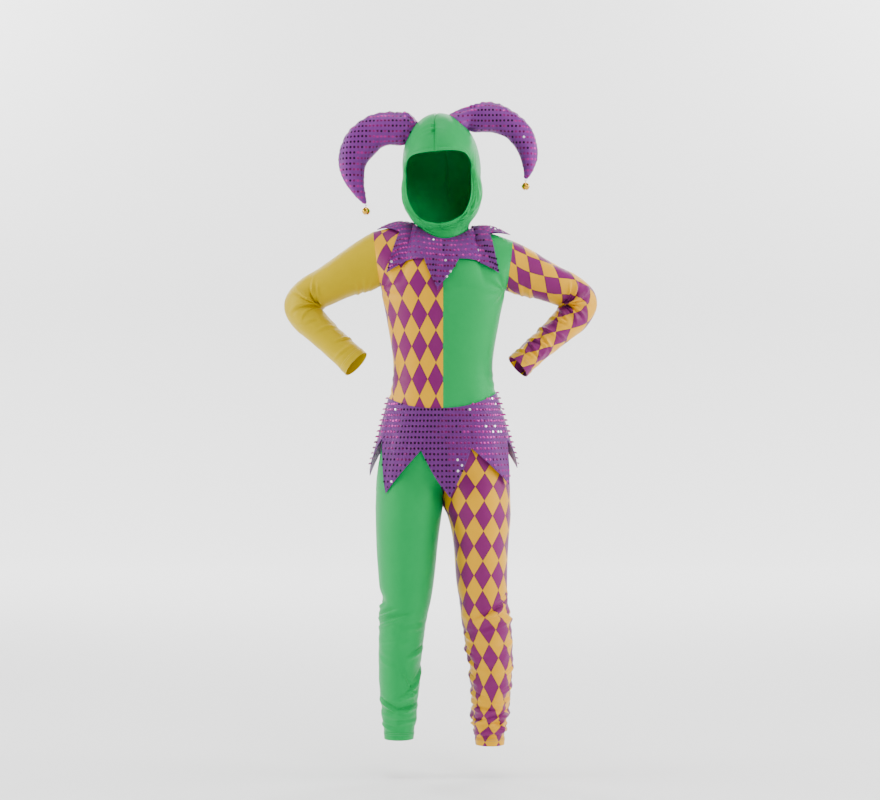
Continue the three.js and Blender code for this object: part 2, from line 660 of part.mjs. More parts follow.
function peplum() {
  const hem = [...PEPLUM_HEM, { ...PEPLUM_HEM[0], at: PEPLUM_HEM[0].at + 360 }];
  const angles = [];
  for (let i = 0; i < PEPLUM_HEM.length; i += 1) {
    for (let j = 0; j < PEPLUM_STEPS; j += 1) angles.push(lerp(hem[i].at, hem[i + 1].at, j / PEPLUM_STEPS));
  }
  const heights = steps(7);
  const rows = heights.map((k) =>
    angles.map((degrees) => {
      const angle = degrees * DEGREE;
      const z = lerp(peplumTop(angle), readStraight(hem, "at", "z", degrees), k);
      const step = 0.01;
      const p = peplumRing(z, angle);
      const n = peplumRing(z, angle + step).sub(peplumRing(z, angle - step));
      n.set(n.y, -n.x, 0).normalize();
      const off = readStraight(hem, "at", "off", degrees);
      return p.addScaledVector(n, LAID + SEQUINNED + off * k ** 1.1);
    }),
  );
  return wall(sheet(rows, true), SEQUINNED);
}

// The body's outline all the way round, with the angle running from the middle front to the left.
function peplumRing(z, angle) {
  const turn = ((angle % (2 * PI)) + 2 * PI) % (2 * PI);
  const p = bodyRing(z, turn > PI ? 2 * PI - turn : turn);
  if (turn > PI) p.x = -p.x;
  return p;
}

// How far one of the hood's two ellipsoids reaches from the head's middle in a direction.
function reachOf(part, d) {
  const [x, y, z] = [d.x / part.halfWide, d.y / part.halfDeep, d.z / part.halfTall];
  const [oy, oz] = [part.y / part.halfDeep, part.z / part.halfTall];
  const a = x * x + y * y + z * z;
  const b = y * oy + z * oz;
  const c = oy * oy + oz * oz - 1;
  return (b + Math.sqrt(b * b - a * c)) / a;
}

function hoodReach(d) {
  const blend = 14;
  return (reachOf(SKULL, d) ** blend + reachOf(JAW, d) ** blend) ** (1 / blend) / 2 ** (0.15 / blend);
}

const HEAD_TURN = new THREE.Matrix4()
  .makeTranslation(HEAD.x, HEAD.y, 0)
  .multiply(new THREE.Matrix4().makeRotationY(HEAD.roll * DEGREE))
  .multiply(new THREE.Matrix4().makeRotationZ(HEAD.yaw * DEGREE))
  .multiply(new THREE.Matrix4().makeTranslation(0, 0, HEAD.z));

const onHood = (d, lift = 0) => d.clone().multiplyScalar(hoodReach(d) + lift).applyMatrix4(HEAD_TURN);

// The direction of the face opening's edge, from the chin (0) up to the forehead (PI).
function faceDirection(turn) {
  const upper = turn > PI / 2;
  const square = upper ? FACE.topSquare : FACE.chinSquare;
  const x = FACE.halfWide * sin(turn) ** square;
  const z = FACE.z + (upper ? FACE.above : -FACE.below) * abs(cos(turn)) ** square;
  const depth = [SKULL, JAW].map((part) => {
    const inside = 1 - (x / part.halfWide) ** 2 - ((z - part.z) / part.halfTall) ** 2;
    return inside > 0 ? part.y - part.halfDeep * Math.sqrt(inside) : 0;
  });
  return vec(x, min(...depth), z).normalize();
}

// The direction at a row (0 face, 1 neck) and a turn round it.
function hoodDirection(row, turn) {
  const low = lerp(ROW_CHIN.face, ROW_CHIN.neck, row) * DEGREE;
  const high = lerp(ROW_CROWN.face, ROW_CROWN.neck, row) * DEGREE;
  const axis = (low + high) / 2;
  const wide = (high - low) / 2;
  const ahead = vec(0, -cos(axis), sin(axis)).multiplyScalar(cos(wide));
  const up = vec(0, sin(axis), cos(axis)).multiplyScalar(-cos(turn) * sin(wide));
  const circle = ahead.add(up).add(vec(sin(turn) * sin(wide), 0, 0));
  return faceDirection(turn).lerp(circle, smooth(0, 0.3, row)).normalize();
}

// Soft folds that hang from ear to ear under the chin, deeper on the wearer's left.
function hoodFolds(side, row, turn) {
  const place = smooth(2.1, 0.9, turn) * smooth(0.02, 0.16, row) * smooth(0.62, 0.4, row);
  return HOOD_FOLDS[side > 0 ? "left" : "right"] * sin((row - 0.05) * 2 * PI * 5.2) * place;
}

function hoodPoint(side, row, turn) {
  const d = hoodDirection(min(row, 0.97), turn);
  d.x *= side;
  const p = onHood(d, hoodFolds(side, row, turn));
  const quarter = turn / (PI / 2);
  const front = quarter < 1;
  const edge = neckline(front ? quarter : 2 - quarter, front);
  const inset = 1 - HOOD_INSET / NECK.halfWide;
  const tucked = posed(side, vec(edge.x * inset, (edge.y - NECK.y) * inset + NECK.y, edge.z));
  tucked.z += lerp(6, -HOOD_TUCK, smooth(0.93, 1, row));
  return p.lerp(tucked, smooth(0.8, 0.93, row));
}

function hoodWalls() {
  const turns = steps(12);
  const rowsAt = [...steps(12).map((k) => k * 0.5), 0.59, 0.68, 0.76, 0.84, 0.93, 1];
  const make = (side) => sheet(rowsAt.map((row) => turns.map((k) => hoodPoint(side, row, k * PI))));
  const [right, left] = [make(-1), make(1)];
  meet(right, left, (_, j) => j === 0 || j === turns.length - 1);
  return [right, left].map((half) => {
    trim(half.rows, { first: true, last: true });
    return wall(half, CLOTH);
  });
}

// A horn is stuffed: a solid of rings from a cap that lies on the hood to the tip.
function horn(name) {
  const { base, baseRadius, path } = HORNS[name];
  const towards = vec(...base).normalize();
  const spread = baseRadius / hoodReach(towards);
  const line = new THREE.CatmullRomCurve3(path.map((p) => vec(p.x, p.y, p.z)));
  const around = steps(HORN_SIDES).slice(0, -1).map((k) => k * 2 * PI);
  const frameOf = (tangent) => {
    const deepWay = vec(0, 1, 0).addScaledVector(tangent, -tangent.y).normalize();
    return { deepWay, acrossWay: tangent.clone().cross(deepWay).normalize() };
  };
  const capRing = (share) => {
    const { deepWay, acrossWay } = frameOf(towards);
    return around.map((t) => {
      const d = towards.clone().addScaledVector(acrossWay, cos(t) * spread * share);
      return onHood(d.addScaledVector(deepWay, -sin(t) * spread * share).normalize(), LAID + 0.15);
    });
  };
  const freeRing = (i) => {
    const { across, deep } = path[i];
    const { deepWay, acrossWay } = frameOf(line.getTangent(i / (path.length - 1)));
    return around.map((t) =>
      vec(path[i].x, path[i].y, path[i].z)
        .addScaledVector(acrossWay, across * cos(t))
        .addScaledVector(deepWay, -deep * sin(t)),
    );
  };
  const rings = [capRing(0.4), capRing(0.75), capRing(1), ...path.map((_, i) => freeRing(i))];
  const centre = onHood(towards, LAID + 0.15);
  const last = path[path.length - 1];
  const tip = vec(last.x, last.y, last.z).addScaledVector(line.getTangent(1), 2);
  const points = [centre, ...rings.flat(), tip];
  const faces = [];
  const n = HORN_SIDES;
  for (let j = 0; j < n; j += 1) {
    const k = (j + 1) % n;
    faces.push([0, 1 + k, 1 + j]);
    for (let i = 0; i < rings.length - 1; i += 1) {
      const [a, b] = [1 + i * n + j, 1 + i * n + k];
      faces.push([a, b, b + n], [a, b + n, a + n]);
    }
    const end = 1 + (rings.length - 1) * n;
    faces.push([end + j, end + k, points.length - 1]);
  }
  return { geometry: closedBody(points, faces), tip };
}

const wasm = await Module();
wasm.setup();

function solid(geometry) {
  const bare = geometry.clone();
  bare.deleteAttribute("normal");
  bare.deleteAttribute("uv");
  const merged = mergeVertices(bare, 1e-4);
  return new wasm.Manifold(
    new wasm.Mesh({
      numProp: 3,
      vertProperties: new Float32Array(merged.attributes.position.array),
      triVerts: new Uint32Array(merged.index.array),
    }),
  );
}

function geometryOf(manifold) {
  const mesh = manifold.getMesh();
  const geometry = new THREE.BufferGeometry();
  geometry.setAttribute("position", new THREE.BufferAttribute(mesh.vertProperties, 3));
  geometry.setIndex(new THREE.BufferAttribute(mesh.triVerts, 1));
  geometry.computeVertexNormals();
  return geometry;
}

// A round bell about its middle: a ball with a rim, two crossed slots below and a ring on top.
function bell() {
  const { radius, rimHalf, rimOut, slotWide, slotDeep, drop } = BELL;
  const profile = [vec(0, -radius, 0)];
  steps(8).slice(1, -1).forEach((k) => {
    const angle = (k - 0.5) * PI;
    if (abs(angle) > 0.2) profile.push(vec(radius * cos(angle), radius * sin(angle), 0));
    if (abs(angle) < 0.01) {
      profile.push(vec(radius, -rimHalf, 0), vec(radius + rimOut, -rimHalf, 0));
      profile.push(vec(radius + rimOut, rimHalf, 0), vec(radius, rimHalf, 0));
    }
  });
  profile.push(vec(0, radius, 0));
  const ball = new THREE.LatheGeometry(profile.map((p) => new THREE.Vector2(p.x, p.y)), 14);
  ball.rotateX(PI / 2);
  const slot = (wide, deep) => new THREE.BoxGeometry(wide, deep, slotDeep).translate(0, 0, -radius + 1);
  const ring = new THREE.TorusGeometry(LOOP.radius, LOOP.wire, 5, 10).rotateY(PI / 2);
  ring.translate(0, 0, drop - LOOP.radius + LOOP.wire + THREAD.wire);
  let made = solid(ball).subtract(solid(slot(slotWide, radius * 1.6)));
  made = made.subtract(solid(slot(radius * 1.6, slotWide)));
  return geometryOf(made.add(solid(ring)));
}

// The sewn loop that holds a bell: down from the horn's tip, across, and up again.
function threadLoop(rise) {
  const { wire, halfWide } = THREAD;
  const line = new THREE.CatmullRomCurve3([
    vec(-halfWide, 0, rise),
    vec(-halfWide, 0, 0.9),
    vec(-halfWide * 0.6, 0, 0.05),
    vec(halfWide * 0.6, 0, 0.05),
    vec(halfWide, 0, 0.9),
    vec(halfWide, 0, rise),
  ]);
  const section = new THREE.Shape(steps(5).slice(0, -1).map((k) => {
    const t = k * 2 * PI;
    return new THREE.Vector2(wire * cos(t), wire * sin(t));
  }));
  return new THREE.ExtrudeGeometry(section, { steps: 10, extrudePath: line, bevelEnabled: false });
}

function piece(name, geometry, finish) {
  const mesh = new THREE.Mesh(geometry, new THREE.MeshStandardMaterial(finish));
  mesh.name = name;
  return mesh;
}

const costume = new THREE.Group();
costume.name = "jester_costume";

const [bodyFrontRight, bodyBackRight] = bodyWalls(-1);
const [bodyFrontLeft, bodyBackLeft] = bodyWalls(1);
const [legFrontRight, legBackRight] = legWalls(-1);
const [legFrontLeft, legBackLeft] = legWalls(1);
const jumpsuit = new THREE.Group();
jumpsuit.add(
  piece("body_front_right", bodyFrontRight, HARLEQUIN),
  piece("body_front_left", bodyFrontLeft, GREEN),
  piece("body_back_right", bodyBackRight, HARLEQUIN),
  piece("body_back_left", bodyBackLeft, GREEN),
  piece("sleeve_right", sleeveWall("right"), YELLOW),
  piece("sleeve_left", sleeveWall("left"), HARLEQUIN),
  piece("leg_front_right", legFrontRight, GREEN),
  piece("leg_back_right", legBackRight, GREEN),
  piece("leg_front_left", legFrontLeft, HARLEQUIN),
  piece("leg_back_left", legBackLeft, HARLEQUIN),
  piece("collar", collar(), PURPLE),
  piece("peplum", peplum(), PURPLE),
);

const hood = new THREE.Group();
const [hoodRight, hoodLeft] = hoodWalls();
hood.add(piece("hood_right", hoodRight, GREEN), piece("hood_left", hoodLeft, GREEN));
["right", "left"].forEach((name) => {
  const { geometry, tip } = horn(name);
  hood.add(piece(`horn_${name}`, geometry, PURPLE));
  const pivot = vec(tip.x, tip.y, tip.z - 3.4);
  const thread = piece(`bell_thread_${name}`, threadLoop(3), COTTON);
  thread.position.copy(pivot);
  const ball = piece(`bell_${name}`, bell(), BRASS);
  ball.position.copy(pivot).add(vec(0, 0, -BELL.drop));
  hood.add(thread, ball);
});

costume.add(jumpsuit, hood);
export default costume;
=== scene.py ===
"""A child's jester costume, filled out as when worn, with both sleeves bent and nothing inside.

A two-coloured stretch jumpsuit, a sequinned collar and peplum with points, and a
hood with two stuffed horns that end in round bells. The shapes are worked out in
millimetres and stored in metres: +Z is up, the front faces -Y, +X is its left.
"""

import math
import random
from math import cos, exp, sin

import bpy
from mathutils import Matrix, Vector, noise


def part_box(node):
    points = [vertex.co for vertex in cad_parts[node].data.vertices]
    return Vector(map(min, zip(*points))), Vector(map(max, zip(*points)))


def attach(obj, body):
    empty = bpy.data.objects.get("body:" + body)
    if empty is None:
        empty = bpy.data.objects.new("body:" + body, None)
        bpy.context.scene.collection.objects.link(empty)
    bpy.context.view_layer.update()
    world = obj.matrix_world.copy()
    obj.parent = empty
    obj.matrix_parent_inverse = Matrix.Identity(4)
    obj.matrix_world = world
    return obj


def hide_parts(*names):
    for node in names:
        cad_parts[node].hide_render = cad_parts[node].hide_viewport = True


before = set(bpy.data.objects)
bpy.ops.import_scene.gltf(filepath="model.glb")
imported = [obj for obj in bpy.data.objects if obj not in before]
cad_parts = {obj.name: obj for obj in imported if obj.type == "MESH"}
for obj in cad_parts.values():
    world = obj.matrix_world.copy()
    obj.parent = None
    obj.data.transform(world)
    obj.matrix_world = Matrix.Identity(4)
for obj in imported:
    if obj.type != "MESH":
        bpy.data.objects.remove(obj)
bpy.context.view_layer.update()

bl_info = {
    "name": "Jester costume",
    "version": (1, 0, 0),
    "blender": (4, 5, 0),
    "location": "View3D > Sidebar > Jester",
    "description": "A child's jester jumpsuit, sequinned collar and peplum, and horned hood",
    "category": "Add Mesh",
}

MM = 0.001
PI = math.pi
BODY_OF_CLOTH = "costume"
LEFT, RIGHT = 1, -1
NAMES = {LEFT: "left", RIGHT: "right"}

# Sizes

KNIT = 1.3  # thickness of the stretch knit
SEQUINNED = 1.2  # thickness of the sequinned cloth
CAD_SEQUINNED = 1.4  # its thickness in the solids
# the way a disc faces when it is painted darkest: painted reflection, as if it mirrors the dark room
DARK_WAY = Vector((-0.24, -0.96, 0.1)).normalized()
LAID = 0.5  # gap between a panel and a piece that lies on it
HORN_LIGHT = 1.4  # how much lighter the horns' cloth is: partly its stretch, partly painted light
HORN_MIX = 0.4  # how far the tones of the horns' discs are mixed
STANDS_OFF = 2.6  # how far the peplum's discs stand off at the costume's sides
TIP_WAY = Vector((0, -1.3, 1.1))  # and which way they tip

UNDERARM_Z = -122
WAIST_SEAM_Z = -362
CROTCH_Z = -540
RISE_TOP_Z = -440  # where the two legs start to part
SHOULDER_LEAN = 0.065  # how far the shoulders drop towards the left, for each unit across
SQUARENESS = 0.88  # 1 would make the body's rings ellipses

# height, half width, front depth, back depth
BODY = [
    (-122, 120, 75, 74), (-150, 114, 78, 73), (-190, 107, 76, 69), (-235, 99, 71, 64),
    (-270, 95.5, 68, 62), (-305, 98, 69, 66), (-340, 105, 72, 73), (-385, 113, 75, 83),
    (-440, 121, 77, 90), (-490, 128, 78, 87), (-540, 130, 75, 78),
]
WIDTH, FRONT, BACK = 1, 2, 3  # the columns of that table

# height, front, back, seam line
LEG_DEPTHS = [
    (-540, -75, 78, 2), (-605, -67, 66, 0), (-682, -56, 52, 0), (-735, -50, 46, 0), (-780, -44, 48, 4),
    (-835, -37, 54, 9), (-900, -31, 49, 10), (-950, -25, 40, 9), (-1000, -21, 36, 8),
]
# height, inner side, outer side
LEG_SIDES = {
    RIGHT: [
        (-540, 0, 130), (-605, 9, 128.5), (-682, 17, 123.5), (-720, 23, 119.5), (-758, 31.5, 122.5),
        (-816, 39.5, 124), (-874, 44.5, 123.5), (-912, 48, 120.5), (-950, 52, 116.5), (-987, 57, 112.5),
    ],
    LEFT: [
        (-540, 0, 130), (-560, 9, 130), (-606, 19, 126), (-682, 25, 123.5), (-720, 31, 125),
        (-758, 36, 129.5), (-797, 42, 132.5), (-835, 48, 134.5), (-874, 52, 132.5), (-912, 54.5, 129.5),
        (-950, 56, 123), (-998, 63, 117.5),
    ],
}
HEM_Z = {RIGHT: -987, LEFT: -998}
HEM_TALL = 15  # a turned hem's height
HEM_ROWS = (15.5, 14.5, 13.5, 12, 10, 8, 5, 2.5, 1, 0)  # its rows of points, from its edge
HEM_STITCHES = (1.5, 5)  # how far under a hem's top each row of its stitches runs
STRETCH = {"body": 1.1, "sleeve": 1.06, "leg": 1.08, "hood": 1.05}  # of each worn knit
BODY_COLUMNS = 40  # columns of points across a body panel
PULL_X, PULL_Z = 118, -128  # where the drag lines under the arm start
BODY_HALF, SEAM_GROOVE = 115, 2.4  # a body panel's usual width, and half the width of a seam's groove
OUTER_SEAM, INNER_SEAM = 0.7, 0.5  # how deep the legs' seams sink
LOOSE_TOP_Z = -690  # where the loose cloth of the lower legs starts
FIRST_DIAMOND = 13.5  # from the middle seam to the middle of the first purple diamond
BUNCHED = 1.4  # how much of a fold's slack the print takes up
PEPLUM_ROW, PEPLUM_LEVEL = -333, -430  # height of a row of discs, and where they are spaced
COLLAR_COLUMNS = 120  # columns of points across the collar's front, and across its back
LEG_COLUMNS = 52  # columns of points across a leg panel
SLEEVE_COLUMNS = 88  # columns of points round a sleeve
LEG_WRINKLED, SLEEVE_WRINKLED = 2, 1.8  # how deep the wrinkles of the tables are pressed

# height, place round the leg in degrees, run each way, height of the crease, depth, slant
LEG_FOLDS = {
    RIGHT: [
        (-716, 172, 46, 11, -4.0, 0.1), (-742, 165, 60, 9, 2.6, -0.25), (-768, 140, 55, 10, -2.0, -0.25),
        (-790, 275, 60, 11, -3.0, 0), (-850, 25, 45, 12, -2.4, -0.3), (-893, 40, 50, 10, 2.4, -0.3),
        (-926, 90, 130, 8, -2.6, 0), (-944, 90, 150, 8, 2.2, 0), (-966, 300, 110, 7, -1.8, 0),
    ],
    LEFT: [
        (-722, 150, 45, 10, -3.2, 0.3), (-748, 150, 55, 9, 3.0, 0.25), (-775, 80, 65, 9, -2.4, 0.2),
        (-790, 275, 60, 11, -3.0, 0), (-812, 30, 50, 10, 2.4, -0.3), (-846, 20, 60, 10, -3.0, -0.3),
        (-905, 160, 60, 10, -2.4, 0.2), (-942, 60, 120, 7, 2.6, 0.05), (-955, 90, 170, 6, -3.2, 0),
        (-967, 120, 170, 6, 3.4, 0.04), (-979, 90, 180, 5, -2.6, 0),
    ],
}
# narrow wrinkles in the same terms, that only the dressed pieces have
LEG_WRINKLES = {
    RIGHT: [
        (-730, 175, 28, 4, 1.9, -0.3), (-746, 142, 44, 3.6, 2.3, -0.27), (-760, 128, 66, 4.2, 2.2, -0.25),
        (-772, 60, 50, 6, 1.1, -0.1), (-803, 110, 60, 6, 1.0, -0.1), (-820, 36, 42, 4.5, 2.1, -0.28),
        (-838, 130, 50, 6, 0.9, 0.25), (-866, 20, 40, 4.5, 1.8, -0.5), (-881, 63, 30, 5.5, 1.9, 1.1),
        (-886, 44, 44, 4.4, 2.3, -0.55), (-904, 60, 50, 4.4, 1.6, -0.2), (-921, 132, 56, 4.2, 2.8, 0.27),
        (-928, 52, 60, 4.2, 2.9, -0.14), (-940, 110, 80, 4.5, 1.4, 0.1), (-953, 70, 80, 3.6, 1.3, -0.06),
        (-962, 150, 60, 3.4, 1.4, 0.12), (-790, 250, 70, 5, 1.6, 0.1), (-812, 280, 70, 5, 1.5, -0.1),
        (-915, 270, 80, 4.5, 1.8, 0.08), (-938, 260, 90, 4, 1.6, -0.06),
    ],
    LEFT: [
        (-716, 150, 40, 4, 2.0, 0.35), (-735, 128, 60, 4, 2.2, 0.4), (-747, 96, 46, 4, 2.3, 0.3),
        (-755, 168, 40, 4.2, 2.2, -0.3), (-768, 120, 60, 4.4, 1.6, 0.25), (-790, 30, 40, 4.6, 1.5, -0.3),
        (-806, 140, 50, 5, 1.4, 0.3), (-816, 14, 40, 4.4, 2.2, -0.35), (-840, 24, 44, 4.4, 2.2, -0.4),
        (-856, 150, 50, 4.4, 1.5, 0.3), (-868, 16, 46, 4.4, 1.9, -0.3), (-890, 150, 50, 4.4, 1.8, 0.25),
        (-902, 30, 60, 4.2, 1.8, -0.2), (-918, 120, 70, 4.2, 1.9, 0.12), (-931, 60, 80, 3.8, 2.6, -0.08),
        (-941, 140, 70, 3.6, 2.4, 0.14), (-953, 40, 90, 3.4, 2.4, 0.1), (-962, 130, 80, 3.4, 2.2, -0.12),
        (-974, 80, 120, 3.2, 2.0, 0.05), (-790, 250, 70, 5, 1.6, 0.1), (-812, 280, 70, 5, 1.5, -0.1),
        (-925, 270, 80, 4.2, 2.2, 0.08), (-948, 260, 90, 4, 2.0, -0.06), (-966, 275, 90, 3.6, 2.0, 0.04),
    ],
}

# the armhole: how far out its foot and its top are, its middle, half sizes, its top's depth
ARM_FOOT, ARM_SHOULDER, ARM_MID_Z, ARM_HALF_TALL, ARM_HALF_DEEP, SHOULDER_Y = (
    120, 134, -71.5, 50.5, 38, 10,
)
# the neckline: half width, middle, reach each way, side height, drop in front and at the back
NECK_HALF, NECK_Y, NECK_FRONT, NECK_BACK, NECK_SIDE_Z, FRONT_DROP, BACK_DROP = (
    52, 4, 54, 46, -5, 25, -3,
)
NECK_SHARE = 4 / 9  # of a body panel's top edge
SHOULDER_CROWN = 3  # how far the shoulder arches up

# elbow corner, cuff middle, bend radius
SLEEVES = {
    RIGHT: ((-291, 30, -151), (-166, -14, -267), 36),
    LEFT: ((287, 30, -143), (143, -14, -272), 35),
}
# share of the length, half width in the front view, half depth
SLEEVE_GIRTH = {
    RIGHT: [
        (0.0, 49, 40), (0.2, 41.5, 40), (0.38, 36, 37), (0.52, 35, 36), (0.68, 30, 33), (0.86, 27.5, 29),
        (1.0, 28.5, 28),
    ],
    LEFT: [
        (0.0, 47, 40), (0.2, 38.5, 39), (0.38, 34.5, 36), (0.52, 34, 35), (0.68, 28.5, 32),
        (0.86, 25, 28), (1.0, 25, 26),
    ],
}
ELBOW_POINT = 8  # how far the bent elbow stands out
# share, place round the sleeve in degrees, run, length, depth, slant
SLEEVE_FOLDS = {
    RIGHT: [
        (0.44, 120, 75, 0.022, -3.6, 0.0003), (0.49, 110, 70, 0.02, 2.8, 0.0002),
        (0.535, 130, 70, 0.022, -3.0, -0.0002), (0.12, 165, 60, 0.025, -2.6, 0),
        (0.78, 200, 80, 0.02, -1.8, 0.0004),
    ],
    LEFT: [
        (0.43, 125, 70, 0.02, -3.4, 0.0004), (0.475, 110, 75, 0.018, 3.0, 0.0003),
        (0.52, 120, 75, 0.02, -3.4, 0), (0.1, 160, 60, 0.025, -2.6, 0),
        (0.7, 140, 90, 0.018, -2.2, -0.0003), (0.79, 140, 90, 0.018, -2.2, -0.0003),
        (0.9, 130, 90, 0.02, -2.0, 0.0003),
    ],
}
SLEEVE_WRINKLES = {
    RIGHT: [
        (0.4, 128, 52, 0.008, 1.5, 0.0009), (0.435, 118, 70, 0.009, 2.4, 0.0011),
        (0.475, 100, 84, 0.0085, 2.6, 0.0003), (0.515, 112, 74, 0.009, 2.4, -0.0006),
        (0.56, 125, 60, 0.009, 1.5, -0.0009), (0.63, 80, 60, 0.012, 1.0, 0.0009),
        (0.74, 120, 70, 0.01, 1.0, 0.0006), (0.86, 150, 60, 0.009, 1.6, 0.0004),
        (0.91, 90, 80, 0.009, 0.9, 0.0002), (0.06, 158, 45, 0.011, 2.4, 0.0005),
        (0.11, 165, 50, 0.012, 2.2, 0.0006), (0.17, 168, 50, 0.012, 1.6, 0.0007),
        (0.46, 250, 70, 0.01, 1.8, 0.0003), (0.52, 260, 70, 0.01, 1.8, -0.0003),
    ],
    LEFT: [
        (0.39, 120, 56, 0.008, 2.0, 0.0009), (0.425, 108, 66, 0.008, 2.4, 0.001),
        (0.455, 90, 76, 0.008, 2.7, 0.0006), (0.485, 104, 70, 0.0075, 2.8, 0.0001),
        (0.515, 112, 70, 0.008, 2.5, -0.0005), (0.55, 118, 64, 0.0085, 2.1, -0.0007),
        (0.6, 140, 64, 0.0085, 2.0, -0.0004), (0.65, 130, 60, 0.0085, 1.9, 0.0004),
        (0.7, 60, 60, 0.0085, 1.4, 0.0004), (0.745, 140, 80, 0.0085, 2.1, 0.0003),
        (0.79, 90, 70, 0.0085, 1.6, -0.0002), (0.83, 130, 80, 0.0085, 2.0, 0.0003),
        (0.875, 110, 80, 0.008, 1.9, -0.0002), (0.925, 130, 90, 0.008, 1.7, 0.0003),
        (0.05, 155, 50, 0.011, 2.6, 0.0005), (0.1, 160, 52, 0.012, 2.4, 0.0006),
        (0.16, 165, 52, 0.012, 1.8, 0.0007), (0.46, 250, 70, 0.01, 1.8, 0.0003),
        (0.52, 260, 70, 0.01, 1.8, -0.0003),
    ],
}

# place, across the body, up the yoke, how far the hem stands off, how far the cloth arches up
COLLAR_FRONT = [
    (-4, -0.95, 1, 1, 9), (-3, -0.61, 0.78, 4, 5), (-2, -0.72, 0.26, 3.2, 0), (-1, -0.18, 0.46, 3.2, 0),
    (0, -0.04, -0.03, 3.2, 0), (1, 0.15, 0.5, 3.2, 0), (2, 0.72, 0.33, 3.2, 0), (3, 0.66, 0.85, 7, 6),
    (4, 0.95, 1, 8, 9),
]
COLLAR_BACK = [
    (-4, -0.95, 1, 1, 9), (-3, -0.7, 0.9, 4, 5), (-2, -0.8, 0.36, 3.2, 0), (-1, -0.24, 0.6, 3.2, 0),
    (0, 0, 0.08, 3.2, 0), (1, 0.24, 0.6, 3.2, 0), (2, 0.8, 0.36, 3.2, 0), (3, 0.7, 0.9, 5, 5),
    (4, 0.95, 1, 8, 9),
]

# degrees round the body, height, distance off the body
PEPLUM_HEM = [
    (4, -520, 5), (23, -427, 4), (63, -497, 10), (76, -412, 8), (104, -467, 22), (123, -414, 12),
    (143, -500, 12), (162, -420, 6), (180, -512, 8), (198, -420, 6), (217, -500, 12), (237, -416, 12),
    (257, -482, 16), (294, -410, 8), (309, -513, 7), (343, -431, 4), (364, -520, 5),
]

# height, number of the row of purple diamonds
PRINT_ROWS_BODY = [
    (-425, 5.04), (-360.5, 4), (-296.6, 3), (-233.9, 2), (-174.5, 1), (-116.1, 0), (-60, -1),
]
# height, number of the row, where a column of purple diamonds lies, width of a diamond
PRINT_LEG = [
    (-332, 4, 79, 34.5), (-388, 3, 79, 35), (-444, 2, 79, 35.3), (-500.3, 1, 78.5, 35.3),
    (-555.7, 0, 77, 35.3), (-612.4, -1, 75.7, 35), (-668.8, -2, 75.1, 33.5), (-724.5, -3, 75.8, 33),
    (-774.1, -4, 84, 33.3), (-827.1, -5, 89.9, 31.5), (-883.1, -6, 91.9, 29.7), (-939.1, -7, 92, 29.5),
    (-958, -7.5, 87, 29), (-973, -8, 83, 28.5), (-990, -8.5, 80, 28), (-1003, -8.8, 80, 28),
]

# the hood's place, and its lean and turn in degrees
HOOD_X, HOOD_Y, HOOD_Z, HOOD_ROLL, HOOD_YAW = 5, 5, 95, -4.5, -7
# forward, up, half width, half depth, half height
HOOD_TOP = (10, 18, 75.5, 94, 105)
HOOD_LOW = (-20, -34, 77.5, 70, 82)
# the hood's opening: height, half width, reach up and down, squareness above and below
OPENING_Z, OPENING_HALF, OPENING_UP, OPENING_DOWN, OPENING_TOP, OPENING_FOOT = (
    -26, 63, 66, 76, 0.35, 1,
)
# slopes in degrees of the first and the last row, below and above the opening
ROWS_BELOW = (-52, -68)
ROWS_ABOVE = (42, 246)
HOOD_FOLDS = {RIGHT: 1, LEFT: 1.7}  # how deep the folds beside the opening are
HOOD_STITCHES = 5  # the row of points that the stitches round the opening follow
HOOD_TUCK = 12  # how far the hood's lower edge is tucked into the neckline
HOOD_INSET = 2.3  # and how far inside it that edge is

# the way from the hood's middle to the horn's base, the base's radius, and the rings after it:
# middle line x, y, z, half width, half depth
HORNS = {
    RIGHT: (
        (-0.58, 0.04, 0.8),
        30,
        [
            (-66, 12, 187, 30, 26), (-82, 12, 186, 32, 27), (-104, 12, 187, 32.5, 27),
            (-128, 12, 181.5, 33, 27), (-146, 11, 170, 34, 27), (-161, 10, 154, 33.5, 26),
            (-171, 9, 134, 30.5, 24), (-174.5, 8, 112, 26, 21), (-171, 7, 90, 20.5, 17),
            (-164.5, 6, 71, 14.5, 13), (-156.5, 5, 54, 8.5, 8.5), (-149, 4, 42.5, 3.2, 3.2),
        ],
    ),
    LEFT: (
        (0.4, 0.06, 0.92),
        25,
        [
            (46, 15, 207, 21.5, 22), (62, 18, 207.5, 27, 24), (80, 18, 209.5, 29.5, 25),
            (99, 18, 207.5, 29, 25), (118, 17, 200.5, 27, 24), (138, 16, 188, 25, 22),
            (153.5, 15, 169.5, 23.5, 20), (162, 14, 149, 20.5, 18), (165.5, 13, 127, 15.8, 14.5),
            (164, 12, 107, 10, 10), (159.5, 11, 91, 3.6, 3.6),
        ],
    ),
}

BELL_RADIUS, BELL_DROP, RIM_HALF, RIM_OUT, SLOT_WIDE, SLOT_TALL = 7.8, 10.6, 0.6, 0.5, 1.4, 4
LOOP_RADIUS, LOOP_WIRE, THREAD_WIRE = 1.7, 0.45, 0.4
BELL_HOLLOW = [(0, -6.6), (4.6, -4.8), (6.4, 0), (4.6, 4.8), (0, 6.6)]  # reach, height
HORN_COLUMNS = 56  # columns of points round a horn
HORN_MIDDLE = 20  # a ring of points well away from the horn's ends

# in metres: what the camera looks at, across and up, and the backdrop
VIEW_MIDDLE = (-0.0058, -0.336)
SENSOR = 36  # the camera's film width
FLOOR_REACH, WALL_Y, WALL_TALL, CURVE = 60, 6.4, 9, 1.2

# Curves and grids


def lerp(a, b, k):
    return a + (b - a) * k


def clamp(x, low=0.0, high=1.0):
    return min(high, max(low, x))


def smooth(a, b, x):
    k = clamp((x - a) / (b - a))
    return k * k * (3 - 2 * k)


